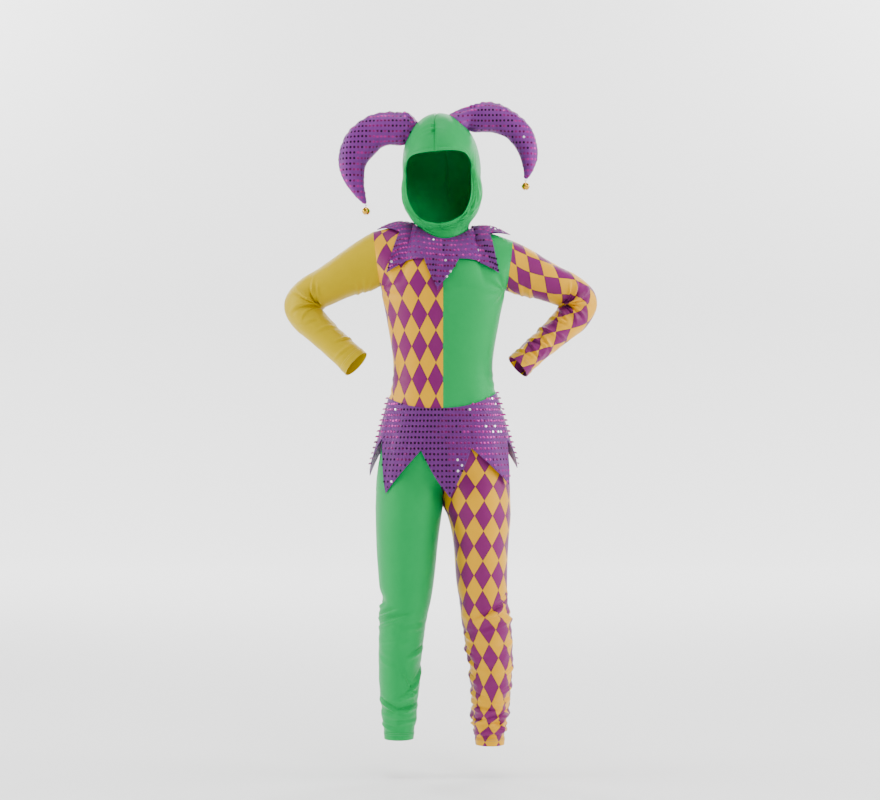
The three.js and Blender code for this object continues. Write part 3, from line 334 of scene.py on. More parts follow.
def steps(n):
    return [i / n for i in range(n + 1)]


def read(table, column, at):
    """One column of a table at a place between its rows, on a smooth curve."""
    up = 1 if table[1][0] > table[0][0] else -1
    i = 0
    while i < len(table) - 2 and (at - table[i + 1][0]) * up > 0:
        i += 1
    a, b = table[i], table[i + 1]
    before = table[i - 1] if i > 0 else a
    after = table[i + 2] if i + 2 < len(table) else b
    span = b[0] - a[0]
    slope_a = (b[column] - before[column]) / (b[0] - before[0]) * span
    slope_b = (after[column] - a[column]) / (after[0] - a[0]) * span
    k = clamp((at - a[0]) / span)
    return (
        a[column] * (2 * k**3 - 3 * k * k + 1)
        + slope_a * (k**3 - 2 * k * k + k)
        + b[column] * (3 * k * k - 2 * k**3)
        + slope_b * (k**3 - k * k)
    )


def read_straight(table, column, at):
    i = 0
    while i < len(table) - 2 and at > table[i + 1][0]:
        i += 1
    a, b = table[i], table[i + 1]
    return lerp(a[column], b[column], clamp((at - a[0]) / (b[0] - a[0])))


def power(x):
    return math.copysign(abs(x) ** SQUARENESS, x)


def turn_between(a, b):
    return (a - b + 540) % 360 - 180


def creases(folds, place, degrees, narrow=False):
    """The push of every crease of a table at a place along and round a tube.

    A narrow one, a wrinkle, is a ridge with a trough beside it.
    """
    total = 0.0
    for at, middle, run, tall, deep, slant in folds:
        turn = turn_between(degrees, middle)
        if abs(turn) < run:
            off = (place - at - slant * turn) / tall
            form = exp(-off * off)
            if narrow:
                form -= 0.75 * exp(-1.4 * (off - 1.5) ** 2)
            total += deep * cos(abs(turn) / run * PI / 2) ** (1.3 if narrow else 2) * form
    return total


def ridged(spot):
    """Noise with sharp crests, as gathered cloth has, from -1 to 1."""
    return 1 - 3.4 * abs(noise.noise(spot))


def lengths(points, start=0.0):
    """How far along a line each of its points lies."""
    run = [start]
    for a, b in zip(points, points[1:]):
        run.append(run[-1] + (b - a).length)
    return run


class Sheet:
    """Rows of points of a cloth's outer face, with normals that face out."""

    def __init__(self, rows, ring=False):
        self.rows, self.ring = rows, ring
        high, wide = len(rows), len(rows[0])
        middle = sum((p for row in rows for p in row), Vector()) / (high * wide)
        self.normals, outward = [], 0.0
        for i in range(high):
            line = []
            for j in range(wide):
                right = rows[i][(j + 1) % wide] if ring else rows[i][min(j + 1, wide - 1)]
                left = rows[i][j - 1] if ring else rows[i][max(j - 1, 0)]
                along = rows[min(i + 1, high - 1)][j] - rows[max(i - 1, 0)][j]
                n = (right - left).cross(along).normalized()
                outward += (rows[i][j] - middle).dot(n)
                line.append(n)
            self.normals.append(line)
        if outward < 0:
            self.normals = [[-n for n in line] for line in self.normals]

    def metric(self, level=False):
        """Lengths in millimetres along the rows and down the columns, as a cut piece has.

        With level, only what runs level counts along a row, and only height and depth down it.
        """
        high, wide = len(self.rows), len(self.rows[0])
        columns = wide + 1 if self.ring else wide
        uv = [[[0.0, 0.0] for _ in range(columns)] for _ in range(high)]
        for i in range(high):
            for j in range(1, columns):
                d = self.rows[i][j % wide] - self.rows[i][j - 1]
                uv[i][j][0] = uv[i][j - 1][0] + (d.xy if level else d).length
        for i in range(1, high):
            for j in range(columns):
                d = self.rows[i][j % wide] - self.rows[i - 1][j % wide]
                uv[i][j][1] = uv[i - 1][j][1] + (d.yz if level else d).length
        return uv


def slack(sheet, even, reach=14):
    """How far the cloth down each column runs ahead of its even share, where it lies in folds."""
    found = [[0.0] * len(sheet.rows[0])]
    for a, b, start, end in zip(sheet.rows, sheet.rows[1:], even, even[1:]):
        step = abs(end - start)
        found.append([x + (q - p).length - step for x, p, q in zip(found[-1], a, b)])
    local = []
    for i, line in enumerate(found):
        k = min(reach, i, len(found) - 1 - i)
        near = found[i - k : i + k + 1]
        local.append([x - sum(column) / len(near) for x, column in zip(line, zip(*near))])
    return local


def meet(a, b, shared):
    """Gives two sheets the same normals along the seam that they share."""
    for i, line in enumerate(a.normals):
        for j, n in enumerate(line):
            if shared(i, j):
                common = (n + b.normals[i][j]).normalized()
                a.normals[i][j] = b.normals[i][j] = common


# The body


def body_ring(z, angle):
    """A point round the body at a height; the angle is 0 in front and a half turn at the back."""
    deep = FRONT if cos(angle) > 0 else BACK
    width = read(BODY, WIDTH, z)
    return Vector((width * power(sin(angle)), -read(BODY, deep, z) * power(cos(angle)), z))


def posed(side, p):
    """A point of the left half, moved to its side and with the shoulders' lean."""
    x = p.x * side
    return Vector((x, p.y, p.z - SHOULDER_LEAN * x * smooth(-210, -40, p.z)))


def armhole(angle, front):
    """A point of the armhole's edge; the angle is 0 at the shoulder."""
    rise = (1 + cos(angle)) / 2
    deep = ARM_HALF_DEEP * sin(angle) * (-1 if front else 1)
    return Vector((
        lerp(ARM_FOOT, ARM_SHOULDER, max(rise, 0) ** 0.8),
        SHOULDER_Y * rise + deep,
        ARM_MID_Z + ARM_HALF_TALL * cos(angle),
    ))


def neckline(quarter, front):
    """A point of the neckline, from 0 at the middle to 1 at the side."""
    angle = quarter * PI / 2
    middle = cos(angle) ** 2
    return Vector((
        NECK_HALF * sin(angle),
        NECK_Y + (-NECK_FRONT if front else NECK_BACK) * cos(angle),
        NECK_SIDE_Z - (FRONT_DROP if front else BACK_DROP) * middle,
    ))


def yoke(u, v, front):
    """The body above the chest line, which fills the loop of chest, armhole and neckline."""

    def chest(k):
        return body_ring(UNDERARM_Z, k * PI / 2 if front else PI - k * PI / 2)

    def top_edge(k):
        if k < NECK_SHARE:
            return neckline(k / NECK_SHARE, front)
        k = (k - NECK_SHARE) / (1 - NECK_SHARE)
        p = neckline(1, front).lerp(armhole(0, front), k)
        p.z += SHOULDER_CROWN * sin(PI * k)
        return p

    def middle_line(k):
        a, b = chest(0), neckline(0, front)
        knee = Vector((0, lerp(a.y, b.y, 0.12), lerp(a.z, b.z, 0.62)))
        return a * (1 - k) ** 2 + knee * (2 * k * (1 - k)) + b * k * k

    return (
        chest(u) * (1 - v)
        + top_edge(u) * v
        + middle_line(v) * (1 - u)
        + armhole(PI * (1 - v), front) * u
        - chest(0) * ((1 - u) * (1 - v))
        - chest(1) * (u * (1 - v))
        - top_edge(0) * ((1 - u) * v)
        - top_edge(1) * (u * v)
    )


def body_panel(side, front, across, up):
    """A point of a body panel; up is 0 at the waist seam, 1 at the chest line, 2 at the top."""
    if up > 1:
        return posed(side, yoke(across, up - 1, front))
    z = lerp(WAIST_SEAM_Z, UNDERARM_Z, up)
    return posed(side, body_ring(z, across * PI / 2 if front else PI - across * PI / 2))


def body_panel_normal(side, front, across, up):
    """The panel's way out at a point, from its slopes."""
    e = 0.01
    u0, u1 = max(across - e, 0), min(across + e, 1)
    v0, v1 = max(up - e, 0), min(up + e, 2)
    along_u = body_panel(side, front, u1, up) - body_panel(side, front, u0, up)
    along_v = body_panel(side, front, across, v1) - body_panel(side, front, across, v0)
    n = along_u.cross(along_v) * (side if front else -side)
    if across == 0:
        n.x = 0
    return n.normalized()


def body_relief(side, front, p, across, up):
    """Soft dents and drag lines, in millimetres."""
    relief = 0.5 * noise.noise(Vector((p.x * 0.02, p.y * 0.02, p.z * 0.012)) + Vector((side, 0, 7)))
    # drag lines that run from the underarm towards the chest
    arm = math.hypot(abs(p.x) - PULL_X, p.z - PULL_Z)
    fan = math.atan2(p.z - PULL_Z, PULL_X - abs(p.x))
    relief += 1.5 * sin(fan * 9 + 1.3 * front) * smooth(52, 8, arm) * smooth(0, 10, arm)
    # faint horizontal pulls above the waist
    waist = smooth(-360, -330, p.z) * smooth(-262, -300, p.z) * smooth(0.25, 0.8, across)
    relief += 0.8 * sin(p.z * 0.34 + across * 5 * side) * waist
    # the middle seam sinks a little and puckers
    seam = exp(-((across * BODY_HALF / SEAM_GROOVE) ** 2))
    relief += seam * (-0.55 + 0.22 * sin(p.z * 0.75))
    if up <= 1:
        relief -= 0.5 * exp(-(((1 - across) * BODY_HALF / SEAM_GROOVE) ** 2))
    return relief


def body_sheets(side):
    columns = steps(BODY_COLUMNS)
    heights = [*steps(56), *[1 + v for v in steps(34)[1:]]]
    pair = []
    for front in (True, False):
        sheet = Sheet([[body_panel(side, front, u, v) for u in columns] for v in heights])
        for line in sheet.normals:
            line[0] = Vector((0, line[0].y, line[0].z)).normalized()
        pair.append(sheet)
    neck = round(NECK_SHARE * BODY_COLUMNS)

    def shared(i, j):
        return (j == BODY_COLUMNS and heights[i] <= 1) or (heights[i] == 2 and j >= neck)

    meet(*pair, shared)
    for front, sheet in zip((True, False), pair):
        for i, v in enumerate(heights):
            for j, u in enumerate(columns):
                p = sheet.rows[i][j]
                edge = smooth(2, 1.93, v) if v > 1 else 1
                if u == 1 and v > 1:
                    edge = 0
                push = body_relief(side, front, p, u, v) * edge
                sheet.rows[i][j] = p + sheet.normals[i][j] * push
    return pair


# The legs


def leg_panel(side, front, across, z):
    """A point of a trouser panel: part of the body above the crotch, half a tube below."""
    above = z > CROTCH_Z
    at = min(z, CROTCH_Z)
    inner = 0 if above else read(LEG_SIDES[side], 1, z)
    outer = read(BODY, WIDTH, z) if above else read(LEG_SIDES[side], 2, z)
    seam = read(LEG_DEPTHS, 3, at)
    if above:
        deep = read(BODY, FRONT if front else BACK, z) * (-1 if front else 1)
    else:
        deep = read(LEG_DEPTHS, 1 if front else 2, z)
    angle = across * PI
    leg = Vector((
        (inner + outer) / 2 - (outer - inner) / 2 * cos(angle),
        lerp(seam, deep, sin(angle)),
        z,
    ))
    seat = body_ring(max(z, CROTCH_Z), angle / 2 if front else PI - angle / 2)
    seat.z = z
    p = seat.lerp(leg, smooth(RISE_TOP_Z, CROTCH_Z, z))
    degrees = (across if front else 2 - across) * 180
    out = Vector((p.x - (inner + outer) / 2, p.y - seam, 0)).normalized()
    push = creases(LEG_FOLDS[side], z, degrees)
    wrinkled = creases(LEG_WRINKLES[side], z, degrees, narrow=True)
    push += LEG_WRINKLED * wrinkled + leg_relief(side, degrees, z)
    p += out * push
    p.x *= side
    return p


def leg_relief(side, degrees, z):
    """Small uneven wrinkles that gather towards the ankle, and the turned hem."""
    turn = math.radians(degrees)
    place = Vector((cos(turn) * 1.1, sin(turn) * 1.1, z * 0.075 + side * 11))
    low = smooth(LOOSE_TOP_Z, -760, z)
    ankle = smooth(-895, -945, z)
    hem = HEM_Z[side]
    open_cloth = smooth(hem + HEM_TALL - 2, hem + HEM_TALL + 12, z)
    loose, bunch = (2.1, 2.3) if side == LEFT else (0.6, 0.7)
    relief = loose * (low + 0.4 * ankle) * open_cloth * noise.noise(place)
    knee_spot = Vector((place.x * 1.3, place.y * 1.3, z * 0.033))
    relief += 0.35 * loose * low * open_cloth * ridged(knee_spot)
    ankle_spot = Vector((place.x * 0.9, place.y * 0.9, z * 0.07))
    relief += bunch * ankle * open_cloth * ridged(ankle_spot)
    relief += 0.5 * noise.noise(Vector((place.x, place.y, z * 0.018 + side)))
    relief += 0.5 * smooth(hem + HEM_TALL + 1, hem + HEM_TALL - 1, z)
    relief -= 0.8 * exp(-(((z - hem - HEM_TALL) / 1.6) ** 2))
    return relief


def leg_heights(side):
    hem = HEM_Z[side]
    seat = [lerp(WAIST_SEAM_Z, CROTCH_Z, k) for k in steps(30)]
    thigh = [lerp(CROTCH_Z, LOOSE_TOP_Z, k) for k in steps(24)[1:]]
    shin = [lerp(LOOSE_TOP_Z, hem + HEM_TALL + 2, k) for k in steps(136)[1:]]
    return [*seat, *thigh, *shin, *[hem + d for d in HEM_ROWS]]


def leg_sheets(side):
    columns = steps(LEG_COLUMNS)
    heights = leg_heights(side)
    pair = [
        Sheet([[leg_panel(side, front, u, z) for u in columns] for z in heights])
        for front in (True, False)
    ]
    for sheet in pair:
        for i, z in enumerate(heights):
            if z > CROTCH_Z:
                n = sheet.normals[i][0]
                sheet.normals[i][0] = Vector((0, n.y, n.z)).normalized()
    meet(*pair, lambda i, j: j == LEG_COLUMNS or (j == 0 and heights[i] <= CROTCH_Z))
    for sheet in pair:
        for row, line in zip(sheet.rows, sheet.normals):
            row[-1] -= line[-1] * OUTER_SEAM
            row[0] -= line[0] * INNER_SEAM
    return pair, heights


# The sleeves


def sleeve_line(side):
    """A function that places the bent sleeve's middle line, and the line's length."""
    elbow, cuff, bend = SLEEVES[side]
    start = posed(side, Vector(((ARM_FOOT + ARM_SHOULDER) / 2, SHOULDER_Y / 2, ARM_MID_Z)))
    corner, end = Vector(elbow), Vector(cuff)
    upper, lower = (corner - start).normalized(), (end - corner).normalized()
    turn = upper.angle(lower)
    reach = bend * math.tan(turn / 2)
    hinge = upper.cross(lower).normalized()
    inwards = hinge.cross(upper)
    pivot = corner - upper * reach + inwards * bend
    first = (corner - start).length - reach
    second = bend * turn
    total = first + second + (end - corner).length - reach
    forward = hinge * -math.copysign(1, hinge.y)

    def place(share):
        d = share * total
        swing = clamp((d - first) / second) * turn
        out = Matrix.Rotation(swing, 3, hinge) @ -inwards
        centre = pivot + out * bend
        if d < first:
            centre += upper * (d - first)
        if d > first + second:
            centre += lower * (d - first - second)
        return centre, out, forward, sin(swing / turn * PI)

    return place, total


def sleeve_point(side, place, total, share, turn):
    """A point of the sleeve, which leaves from the armhole's edge."""
    centre, out, forward, bent = place(share)
    across = read(SLEEVE_GIRTH[side], 1, share)
    deep = read(SLEEVE_GIRTH[side], 2, share)
    degrees = math.degrees(turn)
    push = creases(SLEEVE_FOLDS[side], share, degrees)
    push += SLEEVE_WRINKLED * creases(SLEEVE_WRINKLES[side], share, degrees, narrow=True)
    push += sleeve_relief(side, share, turn, total)
    point = max(bent, 0) ** 3 * ELBOW_POINT * max(cos(turn), 0) ** 2
    p = centre + out * (across + point + push) * cos(turn)
    p += forward * (deep + push) * sin(turn)
    hole = armhole(2 * PI - turn if turn > PI else turn, turn <= PI)
    edge = posed(side, hole)
    edge.x += side * 0.1
    leaving = edge + (place(0.3)[0] - place(0)[0]) * (share / 0.3)
    return leaving.lerp(p, smooth(0, 0.26, share))


def sleeve_relief(side, share, turn, total):
    spot = Vector((cos(turn) * 1.2, sin(turn) * 1.2, share * total * 0.05 + side * 5))
    relief = 0.7 * noise.noise(spot) * smooth(0, 0.2, share)
    if side == LEFT:
        cuff = smooth(0.6, 0.85, share) * smooth(0.955, 0.93, share)
        relief += 0.9 * cuff * ridged(spot * 1.3)
        relief += 0.9 * smooth(0.3, 0.42, share) * noise.noise(spot * 1.5)
    from_hem = (1 - share) * total
    relief += 0.5 * smooth(HEM_TALL + 1, HEM_TALL - 1, from_hem)
    relief -= 0.6 * exp(-(((from_hem - HEM_TALL) / 1.6) ** 2))
    return relief


def sleeve_sheet(side):
    place, total = sleeve_line(side)
    around = [(PI + k * 2 * PI) % (2 * PI) for k in steps(SLEEVE_COLUMNS)[:-1]]
    last = 1 - (HEM_TALL + 2) / total
    shares = [*[k * last for k in steps(150)], *[1 - d / total for d in HEM_ROWS]]
    rows = [[sleeve_point(side, place, total, s, t) for t in around] for s in shares]
    return Sheet(rows, ring=True), shares, total


# The collar and the peplum


def collar_point(front, at, down):
    """A point of the collar, which lies on the yoke from the neckline to the pointed hem."""
    table = COLLAR_FRONT if front else COLLAR_BACK
    signed = lerp(NECK_SHARE * at / 4, read_straight(table, 1, at), down)
    side, across = (RIGHT if signed < 0 else LEFT), abs(signed)
    up = 1 + lerp(1, read_straight(table, 2, at), down)
    n = body_panel_normal(side, front, across, up)
    if abs(at) == 4:
        n = (n + body_panel_normal(side, not front, across, up)).normalized()
    off, arch = read_straight(table, 3, at), read_straight(table, 4, at)
    lift = LAID + CAD_SEQUINNED + off * down + arch * sin(PI * down**0.8)
    # soft flutes run up from the notches
    lift += 1.3 * down * exp(-(((abs(at) - 1.12) / 0.24) ** 2)) * (1 - 0.5 * down)
    lift += 0.6 * noise.noise(Vector((at * 1.7, down * 3, 3 + front)))
    return body_panel(side, front, across, up) + n * max(lift, LAID + CAD_SEQUINNED)


def collar_sheet():
    """The collar, and where each of its points lies when the cloth is flat."""
    places = [k * 8 - 4 for k in steps(COLLAR_COLUMNS)[:-1]]
    downs = [k**0.92 for k in steps(30)]
    rows = [
        [collar_point(True, at, k) for at in places] + [collar_point(False, -at, k) for at in places]
        for k in downs
    ]
    sheet = Sheet(rows, ring=True)
    # the cloth is a flat ring when cut: places round it and lengths down it lay it out flat
    flat = []
    for cut in sheet.metric():
        line = []
        for k, (_, down) in zip(steps(2 * COLLAR_COLUMNS), cut):
            turn, reach = (k - 0.25) * 2 * PI, NECK_HALF + down
            line.append((reach * sin(turn), -reach * cos(turn)))
        flat.append(line)
    return sheet, flat


def peplum_top(angle):
    dip = 24 if cos(angle) > 0 else -6
    return -327 - dip * cos(angle) ** 2 + 5 * sin(angle)


def peplum_ring(z, angle):
    turn = angle % (2 * PI)
    p = body_ring(z, 2 * PI - turn if turn > PI else turn)
    if turn > PI:
        p.x = -p.x
    return p


def peplum_sheet():
    degrees = []
    for a, b in zip(PEPLUM_HEM, PEPLUM_HEM[1:]):
        count = max(8, round((b[0] - a[0]) * 0.75))
        degrees += [lerp(a[0], b[0], k) for k in steps(count)[:-1]]
    rows = []
    for k in steps(38):
        row = []
        for d in degrees:
            angle = math.radians(d)
            z = lerp(peplum_top(angle), read_straight(PEPLUM_HEM, 1, d), k)
            p = peplum_ring(z, angle)
            n = peplum_ring(z, angle + 0.01) - peplum_ring(z, angle - 0.01)
            n = Vector((n.y, -n.x, 0)).normalized()
            off = read_straight(PEPLUM_HEM, 2, d) * k**1.1
            off += 0.9 * noise.noise(Vector((cos(angle) * 2.5, sin(angle) * 2.5, z * 0.02)))
            row.append(p + n * max(LAID + CAD_SEQUINNED + off, LAID + CAD_SEQUINNED - 0.2))
        rows.append(row)
    return Sheet(rows, ring=True), degrees


# The hood and the horns


def reach_of(part, d):
    """How far a rounded form reaches from the hood's middle."""
    y0, z0, half_wide, half_deep, half_tall = part
    x, y, z = d.x / half_wide, d.y / half_deep, d.z / half_tall
    oy, oz = y0 / half_deep, z0 / half_tall
    a = x * x + y * y + z * z
    b = y * oy + z * oz
    c = oy * oy + oz * oz - 1
    return (b + math.sqrt(b * b - a * c)) / a


def hood_reach(d):
    """The hood's own reach, where its two forms flow together."""
    blend = 14
    both = (reach_of(HOOD_TOP, d) ** blend + reach_of(HOOD_LOW, d) ** blend) ** (1 / blend)
    return both / 2 ** (0.15 / blend)


HOOD_PLACE = (
    Matrix.Translation((HOOD_X, HOOD_Y, 0))
    @ Matrix.Rotation(math.radians(HOOD_ROLL), 4, "Y")
    @ Matrix.Rotation(math.radians(HOOD_YAW), 4, "Z")
    @ Matrix.Translation((0, 0, HOOD_Z))
)


def on_hood(d, lift):
    return HOOD_PLACE @ (d * (hood_reach(d) + lift))


def opening_direction(turn):
    """The way to a point on the edge of the hood's opening."""
    upper = turn > PI / 2
    form = 2 / (OPENING_TOP if upper else OPENING_FOOT)
    high = OPENING_UP if upper else OPENING_DOWN
    across, up = abs(sin(turn)), -cos(turn)
    reach = ((across / OPENING_HALF) ** form + (abs(up) / high) ** form) ** (-1 / form)
    x, z = reach * across, OPENING_Z + reach * up
    depths = []
    for y0, z0, half_wide, half_deep, half_tall in (HOOD_TOP, HOOD_LOW):
        inside = 1 - (x / half_wide) ** 2 - ((z - z0) / half_tall) ** 2
        depths.append(y0 - half_deep * math.sqrt(inside) if inside > 0 else 0)
    return Vector((x, min(depths), z)).normalized()


def hood_direction(row, turn):
    """The way to a point of a row; rows run back from the opening."""
    low = math.radians(lerp(ROWS_BELOW[0], ROWS_BELOW[1], row))
    high = math.radians(lerp(ROWS_ABOVE[0], ROWS_ABOVE[1], row))
    axis, wide = (low + high) / 2, (high - low) / 2
    ahead = Vector((0, -cos(axis), sin(axis))) * cos(wide)
    up = Vector((0, sin(axis), cos(axis))) * (-cos(turn) * sin(wide))
    circle = ahead + up + Vector((sin(turn) * sin(wide), 0, 0))
    return opening_direction(turn).lerp(circle, smooth(0, 0.3, row)).normalized()


def hood_folds(side, row, turn):
    place = smooth(2.1, 0.9, turn) * smooth(0.02, 0.16, row) * smooth(0.62, 0.4, row)
    return HOOD_FOLDS[side] * sin((row - 0.05) * 2 * PI * 5.2) * place


def hood_relief(side, turn, from_edge, from_seam):
    """Fine form by the distances, in millimetres, from the opening and from the middle seam."""
    # the hem that is turned in round the opening, and its stitched groove
    relief = 0.5 * exp(-(((from_edge - 3) / 3) ** 2))
    relief -= 0.8 * exp(-(((from_edge - 7.2) / 1.3) ** 2))
    # folds that hang beside and under the opening, side by side with its edge
    place = smooth(2.3, 1.5, turn) * smooth(62, 34, from_edge) * smooth(7, 10, from_edge)
    sway = 1.6 * sin(turn * 2.3 + side)
    strength = 3.0 if side == LEFT else 2.0
    for middle, wide, deep in ((12, 2.4, 0.9), (19, 2.2, 1.0), (27, 2.6, 0.8), (36, 3.5, 0.6)):
        off = (from_edge - middle - sway * middle / 14) / wide
        relief += strength * deep * place * (exp(-off * off) - 0.7 * exp(-((off - 1.4) ** 2)))
    # gathers that run out from the middle seam above the opening
    window = smooth(34, 40, from_edge) * smooth(70, 60, from_edge) * exp(-from_seam / 15)
    relief += (3.2 if side == RIGHT else 1.2) * window * sin((from_edge + 0.2 * from_seam) * 0.95)
    relief -= 1.9 * exp(-((from_seam / 1.9) ** 2))
    relief += 0.3 * sin(from_edge * 1.1) * exp(-((from_seam / 6) ** 2))
    return relief


def hood_point(side, row, turn):
    """A point of the hood, whose last rows are tucked into the neckline."""
    d = hood_direction(min(row, 0.97), turn)
    d.x *= side
    p = on_hood(d, hood_folds(side, row, turn))
    quarter = turn / (PI / 2)
    front = quarter < 1
    edge = neckline(quarter if front else 2 - quarter, front)
    inset = 1 - HOOD_INSET / NECK_HALF
    tucked = posed(side, Vector((edge.x * inset, (edge.y - NECK_Y) * inset + NECK_Y, edge.z)))
    tucked.z += lerp(6, -HOOD_TUCK, smooth(0.93, 1, row))
    return p.lerp(tucked, smooth(0.8, 0.93, row))


def hood_sheets():
    seam = [0.0, 0.006, 0.012, 0.02, 0.03, 0.042]
    turns = [*seam, *[lerp(0.056, 0.944, k) for k in steps(64)], *[1 - k for k in reversed(seam)]]
    turns = [k * PI for k in turns]
    edge = [0, 0.006, 0.012, 0.018, 0.024, 0.03, 0.036, 0.042, 0.05]
    sides = [lerp(0.058, 0.4, k) for k in steps(60)]
    crown = [lerp(0.41, 0.62, k) for k in steps(22)]
    rows_at = [*edge, *sides, *crown, *[lerp(0.635, 1, k) for k in steps(28)]]
    pair = [
        Sheet([[hood_point(side, row, t) for t in turns] for row in rows_at])
        for side in (RIGHT, LEFT)
    ]
    last = len(turns) - 1
    meet(*pair, lambda i, j: j in (0, last))
    for side, sheet in zip((RIGHT, LEFT), pair):
        cut = sheet.metric()
        for i, row in enumerate(rows_at):
            fade = smooth(0.84, 0.74, row)
            for j, turn in enumerate(turns):
                across = cut[i][j][0]
                from_seam = min(across, cut[i][last][0] - across)
                push = hood_relief(side, turn, cut[i][j][1], from_seam)
                push += 0.7 * noise.noise(sheet.rows[i][j] * 0.035)
                sheet.rows[i][j] = sheet.rows[i][j] + sheet.normals[i][j] * (push * fade)
    return pair


def horn_frame(tangent):
    """The ways in depth and across, square to the horn's middle line."""
    deep_way = (Vector((0, 1, 0)) - tangent * tangent.y).normalized()
    return deep_way, tangent.cross(deep_way).normalized()


def horn_stations(side):
    """Rings of the horn: each has its middle, its way across and its points."""
    base, radius, path = HORNS[side]
    towards = Vector(base).normalized()
    spread = radius / hood_reach(towards)
    around = [k * 2 * PI for k in steps(HORN_COLUMNS)]
    deep_way, across_way = horn_frame(towards)
    ring = []
    for t in around:
        d = towards + across_way * (cos(t) * spread) - deep_way * (sin(t) * spread)
        ring.append(on_hood(d.normalized(), LAID + 0.15))
    stations = [(on_hood(towards, LAID), across_way, ring)]
    for i, (x, y, z, across, deep) in enumerate(path):
        before, after = path[max(i - 1, 0)], path[min(i + 1, len(path) - 1)]
        tangent = (Vector(after[:3]) - Vector(before[:3])).normalized()
        deep_way, across_way = horn_frame(tangent)
        middle = Vector((x, y, z))
        ring = [
            middle + across_way * (across * cos(t)) - deep_way * (deep * sin(t))
            for t in around
        ]
        stations.append((middle, across_way, ring))
    return stations, tangent


def catmull(a, b, c, d, k):
    """A smooth way from b to c, with a before and d after them."""
    bend = (2 * a - 5 * b + 4 * c - d) * k * k
    return 0.5 * ((2 * b) + (c - a) * k + bend + (3 * b - a - 3 * c + d) * k**3)


def horn_rings(side, fine=7):
    """The horn's smooth rows of points, with each row's middle and way across."""
    stations, tangent = horn_stations(side)
    last = len(stations) - 1
    rows, middles = [], []
    for i in range(last):
        near = [stations[clamp(i + o, 0, last)] for o in (-1, 0, 1, 2)]
        for k in [n / fine for n in range(fine + (i == last - 1))]:
            middle = catmull(*[s[0] for s in near], k)
            across_way = catmull(*[s[1] for s in near], k).normalized()
            ring = []
            for j in range(HORN_COLUMNS):
                p = catmull(*[s[2][j] for s in near], k)
                out = (p - middle).normalized()
                ring.append(p + out * horn_relief(side, i + k, j / HORN_COLUMNS * 2 * PI, last))
            rows.append(ring)
            middles.append((middle, across_way))
    return rows, middles, tangent


def horn_relief(side, along, t, last):
    """The stuffed cloth's soft lumps, its seam, and wrinkles on the inner curve."""
    inner = max(cos(t) * side, 0) ** 1.5
    free = smooth(0.3, 1.5, along) * smooth(last, last - 1.5, along)
    relief = 1.1 * noise.noise(Vector((cos(t) * 1.5, sin(t) * 1.5, along * 0.9 + side)))
    relief += 0.9 * inner * sin(along * 9.5) * smooth(8.5, 5, along)
    relief -= 0.8 * exp(-((sin(t) * 9) ** 2))
    base = smooth(3.2, 1.0, along) * smooth(0.1, 0.6, along)
    gathers = 1.4 * base * sin(t * 13 + 2 * sin(t * 2 + side))
    return relief * free + gathers


# Meshes


def placed(name, data):
    """A new object in the scene."""
    made = bpy.data.objects.new(name, data)
    bpy.context.scene.collection.objects.link(made)
    return made


def raw_mesh(name, points, faces, edges=()):
    """A mesh from points in millimetres."""
    mesh = bpy.data.meshes.new(name)
    mesh.from_pydata([p * MM for p in points], list(edges), faces)
    return mesh


def smooth_mesh(mesh, degrees, material):
    mesh.polygons.foreach_set("use_smooth", [True] * len(mesh.polygons))
    mesh.set_sharp_from_angle(angle=math.radians(degrees))
    mesh.materials.append(material)


def cloth_object(name, points, faces, layers, material):
    """A piece whose faces list corners, each a point's number and its place in the layers' grids."""
    mesh = raw_mesh(name, points, [[k for k, _ in face] for face in faces])
    for layer, uv in layers.items():
        flat = [x for face in faces for _, (i, j) in face for x in uv[i][j]]
        mesh.uv_layers.new(name=layer).data.foreach_set("uv", flat)
    smooth_mesh(mesh, 60, material)
    mesh.validate(clean_customdata=False)
    return placed(name, mesh)


def faced(sheet, faces, i):
    """Turns the faces over if the sheet's grid at a row turns the other way from its normals."""
    a, b, c = sheet.rows[i][0], sheet.rows[i][1], sheet.rows[i + 1][0]
    if (b - a).cross(c - a).dot(sheet.normals[i][0]) < 0:
        return [face[::-1] for face in faces]
    return faces


def wall(name, sheet, thickness, material, layers):
    """A closed sheet of cloth; each layer gives a UV pair for every grid point."""
    high, wide = len(sheet.rows), len(sheet.rows[0])
    outer = [p for row in sheet.rows for p in row]
    ins = [n * thickness for line in sheet.normals for n in line]
    inner = [p - n for p, n in zip(outer, ins)]
    faces = []

    def add(*corners):
        faces.append([(((high if low else 0) + i) * wide + j % wide, (i, j)) for i, j, low in corners])

    columns = wide if sheet.ring else wide - 1
    for i in range(high - 1):
        for j in range(columns):
            add((i, j, 0), (i, j + 1, 0), (i + 1, j + 1, 0), (i + 1, j, 0))
            add((i, j, 1), (i + 1, j, 1), (i + 1, j + 1, 1), (i, j + 1, 1))
    for j in range(columns):
        add((0, j, 0), (0, j, 1), (0, j + 1, 1), (0, j + 1, 0))
        k = high - 1
        add((k, j, 0), (k, j + 1, 0), (k, j + 1, 1), (k, j, 1))
    if not sheet.ring:
        k = wide - 1
        for i in range(high - 1):
            add((i, 0, 0), (i + 1, 0, 0), (i + 1, 0, 1), (i, 0, 1))
            add((i, k, 0), (i, k, 1), (i + 1, k, 1), (i + 1, k, 0))
    return cloth_object(name, outer + inner, faced(sheet, faces, 0), layers, material)


def metres(sheet):
    return [[(u * MM, v * MM) for u, v in line] for line in sheet.metric()]


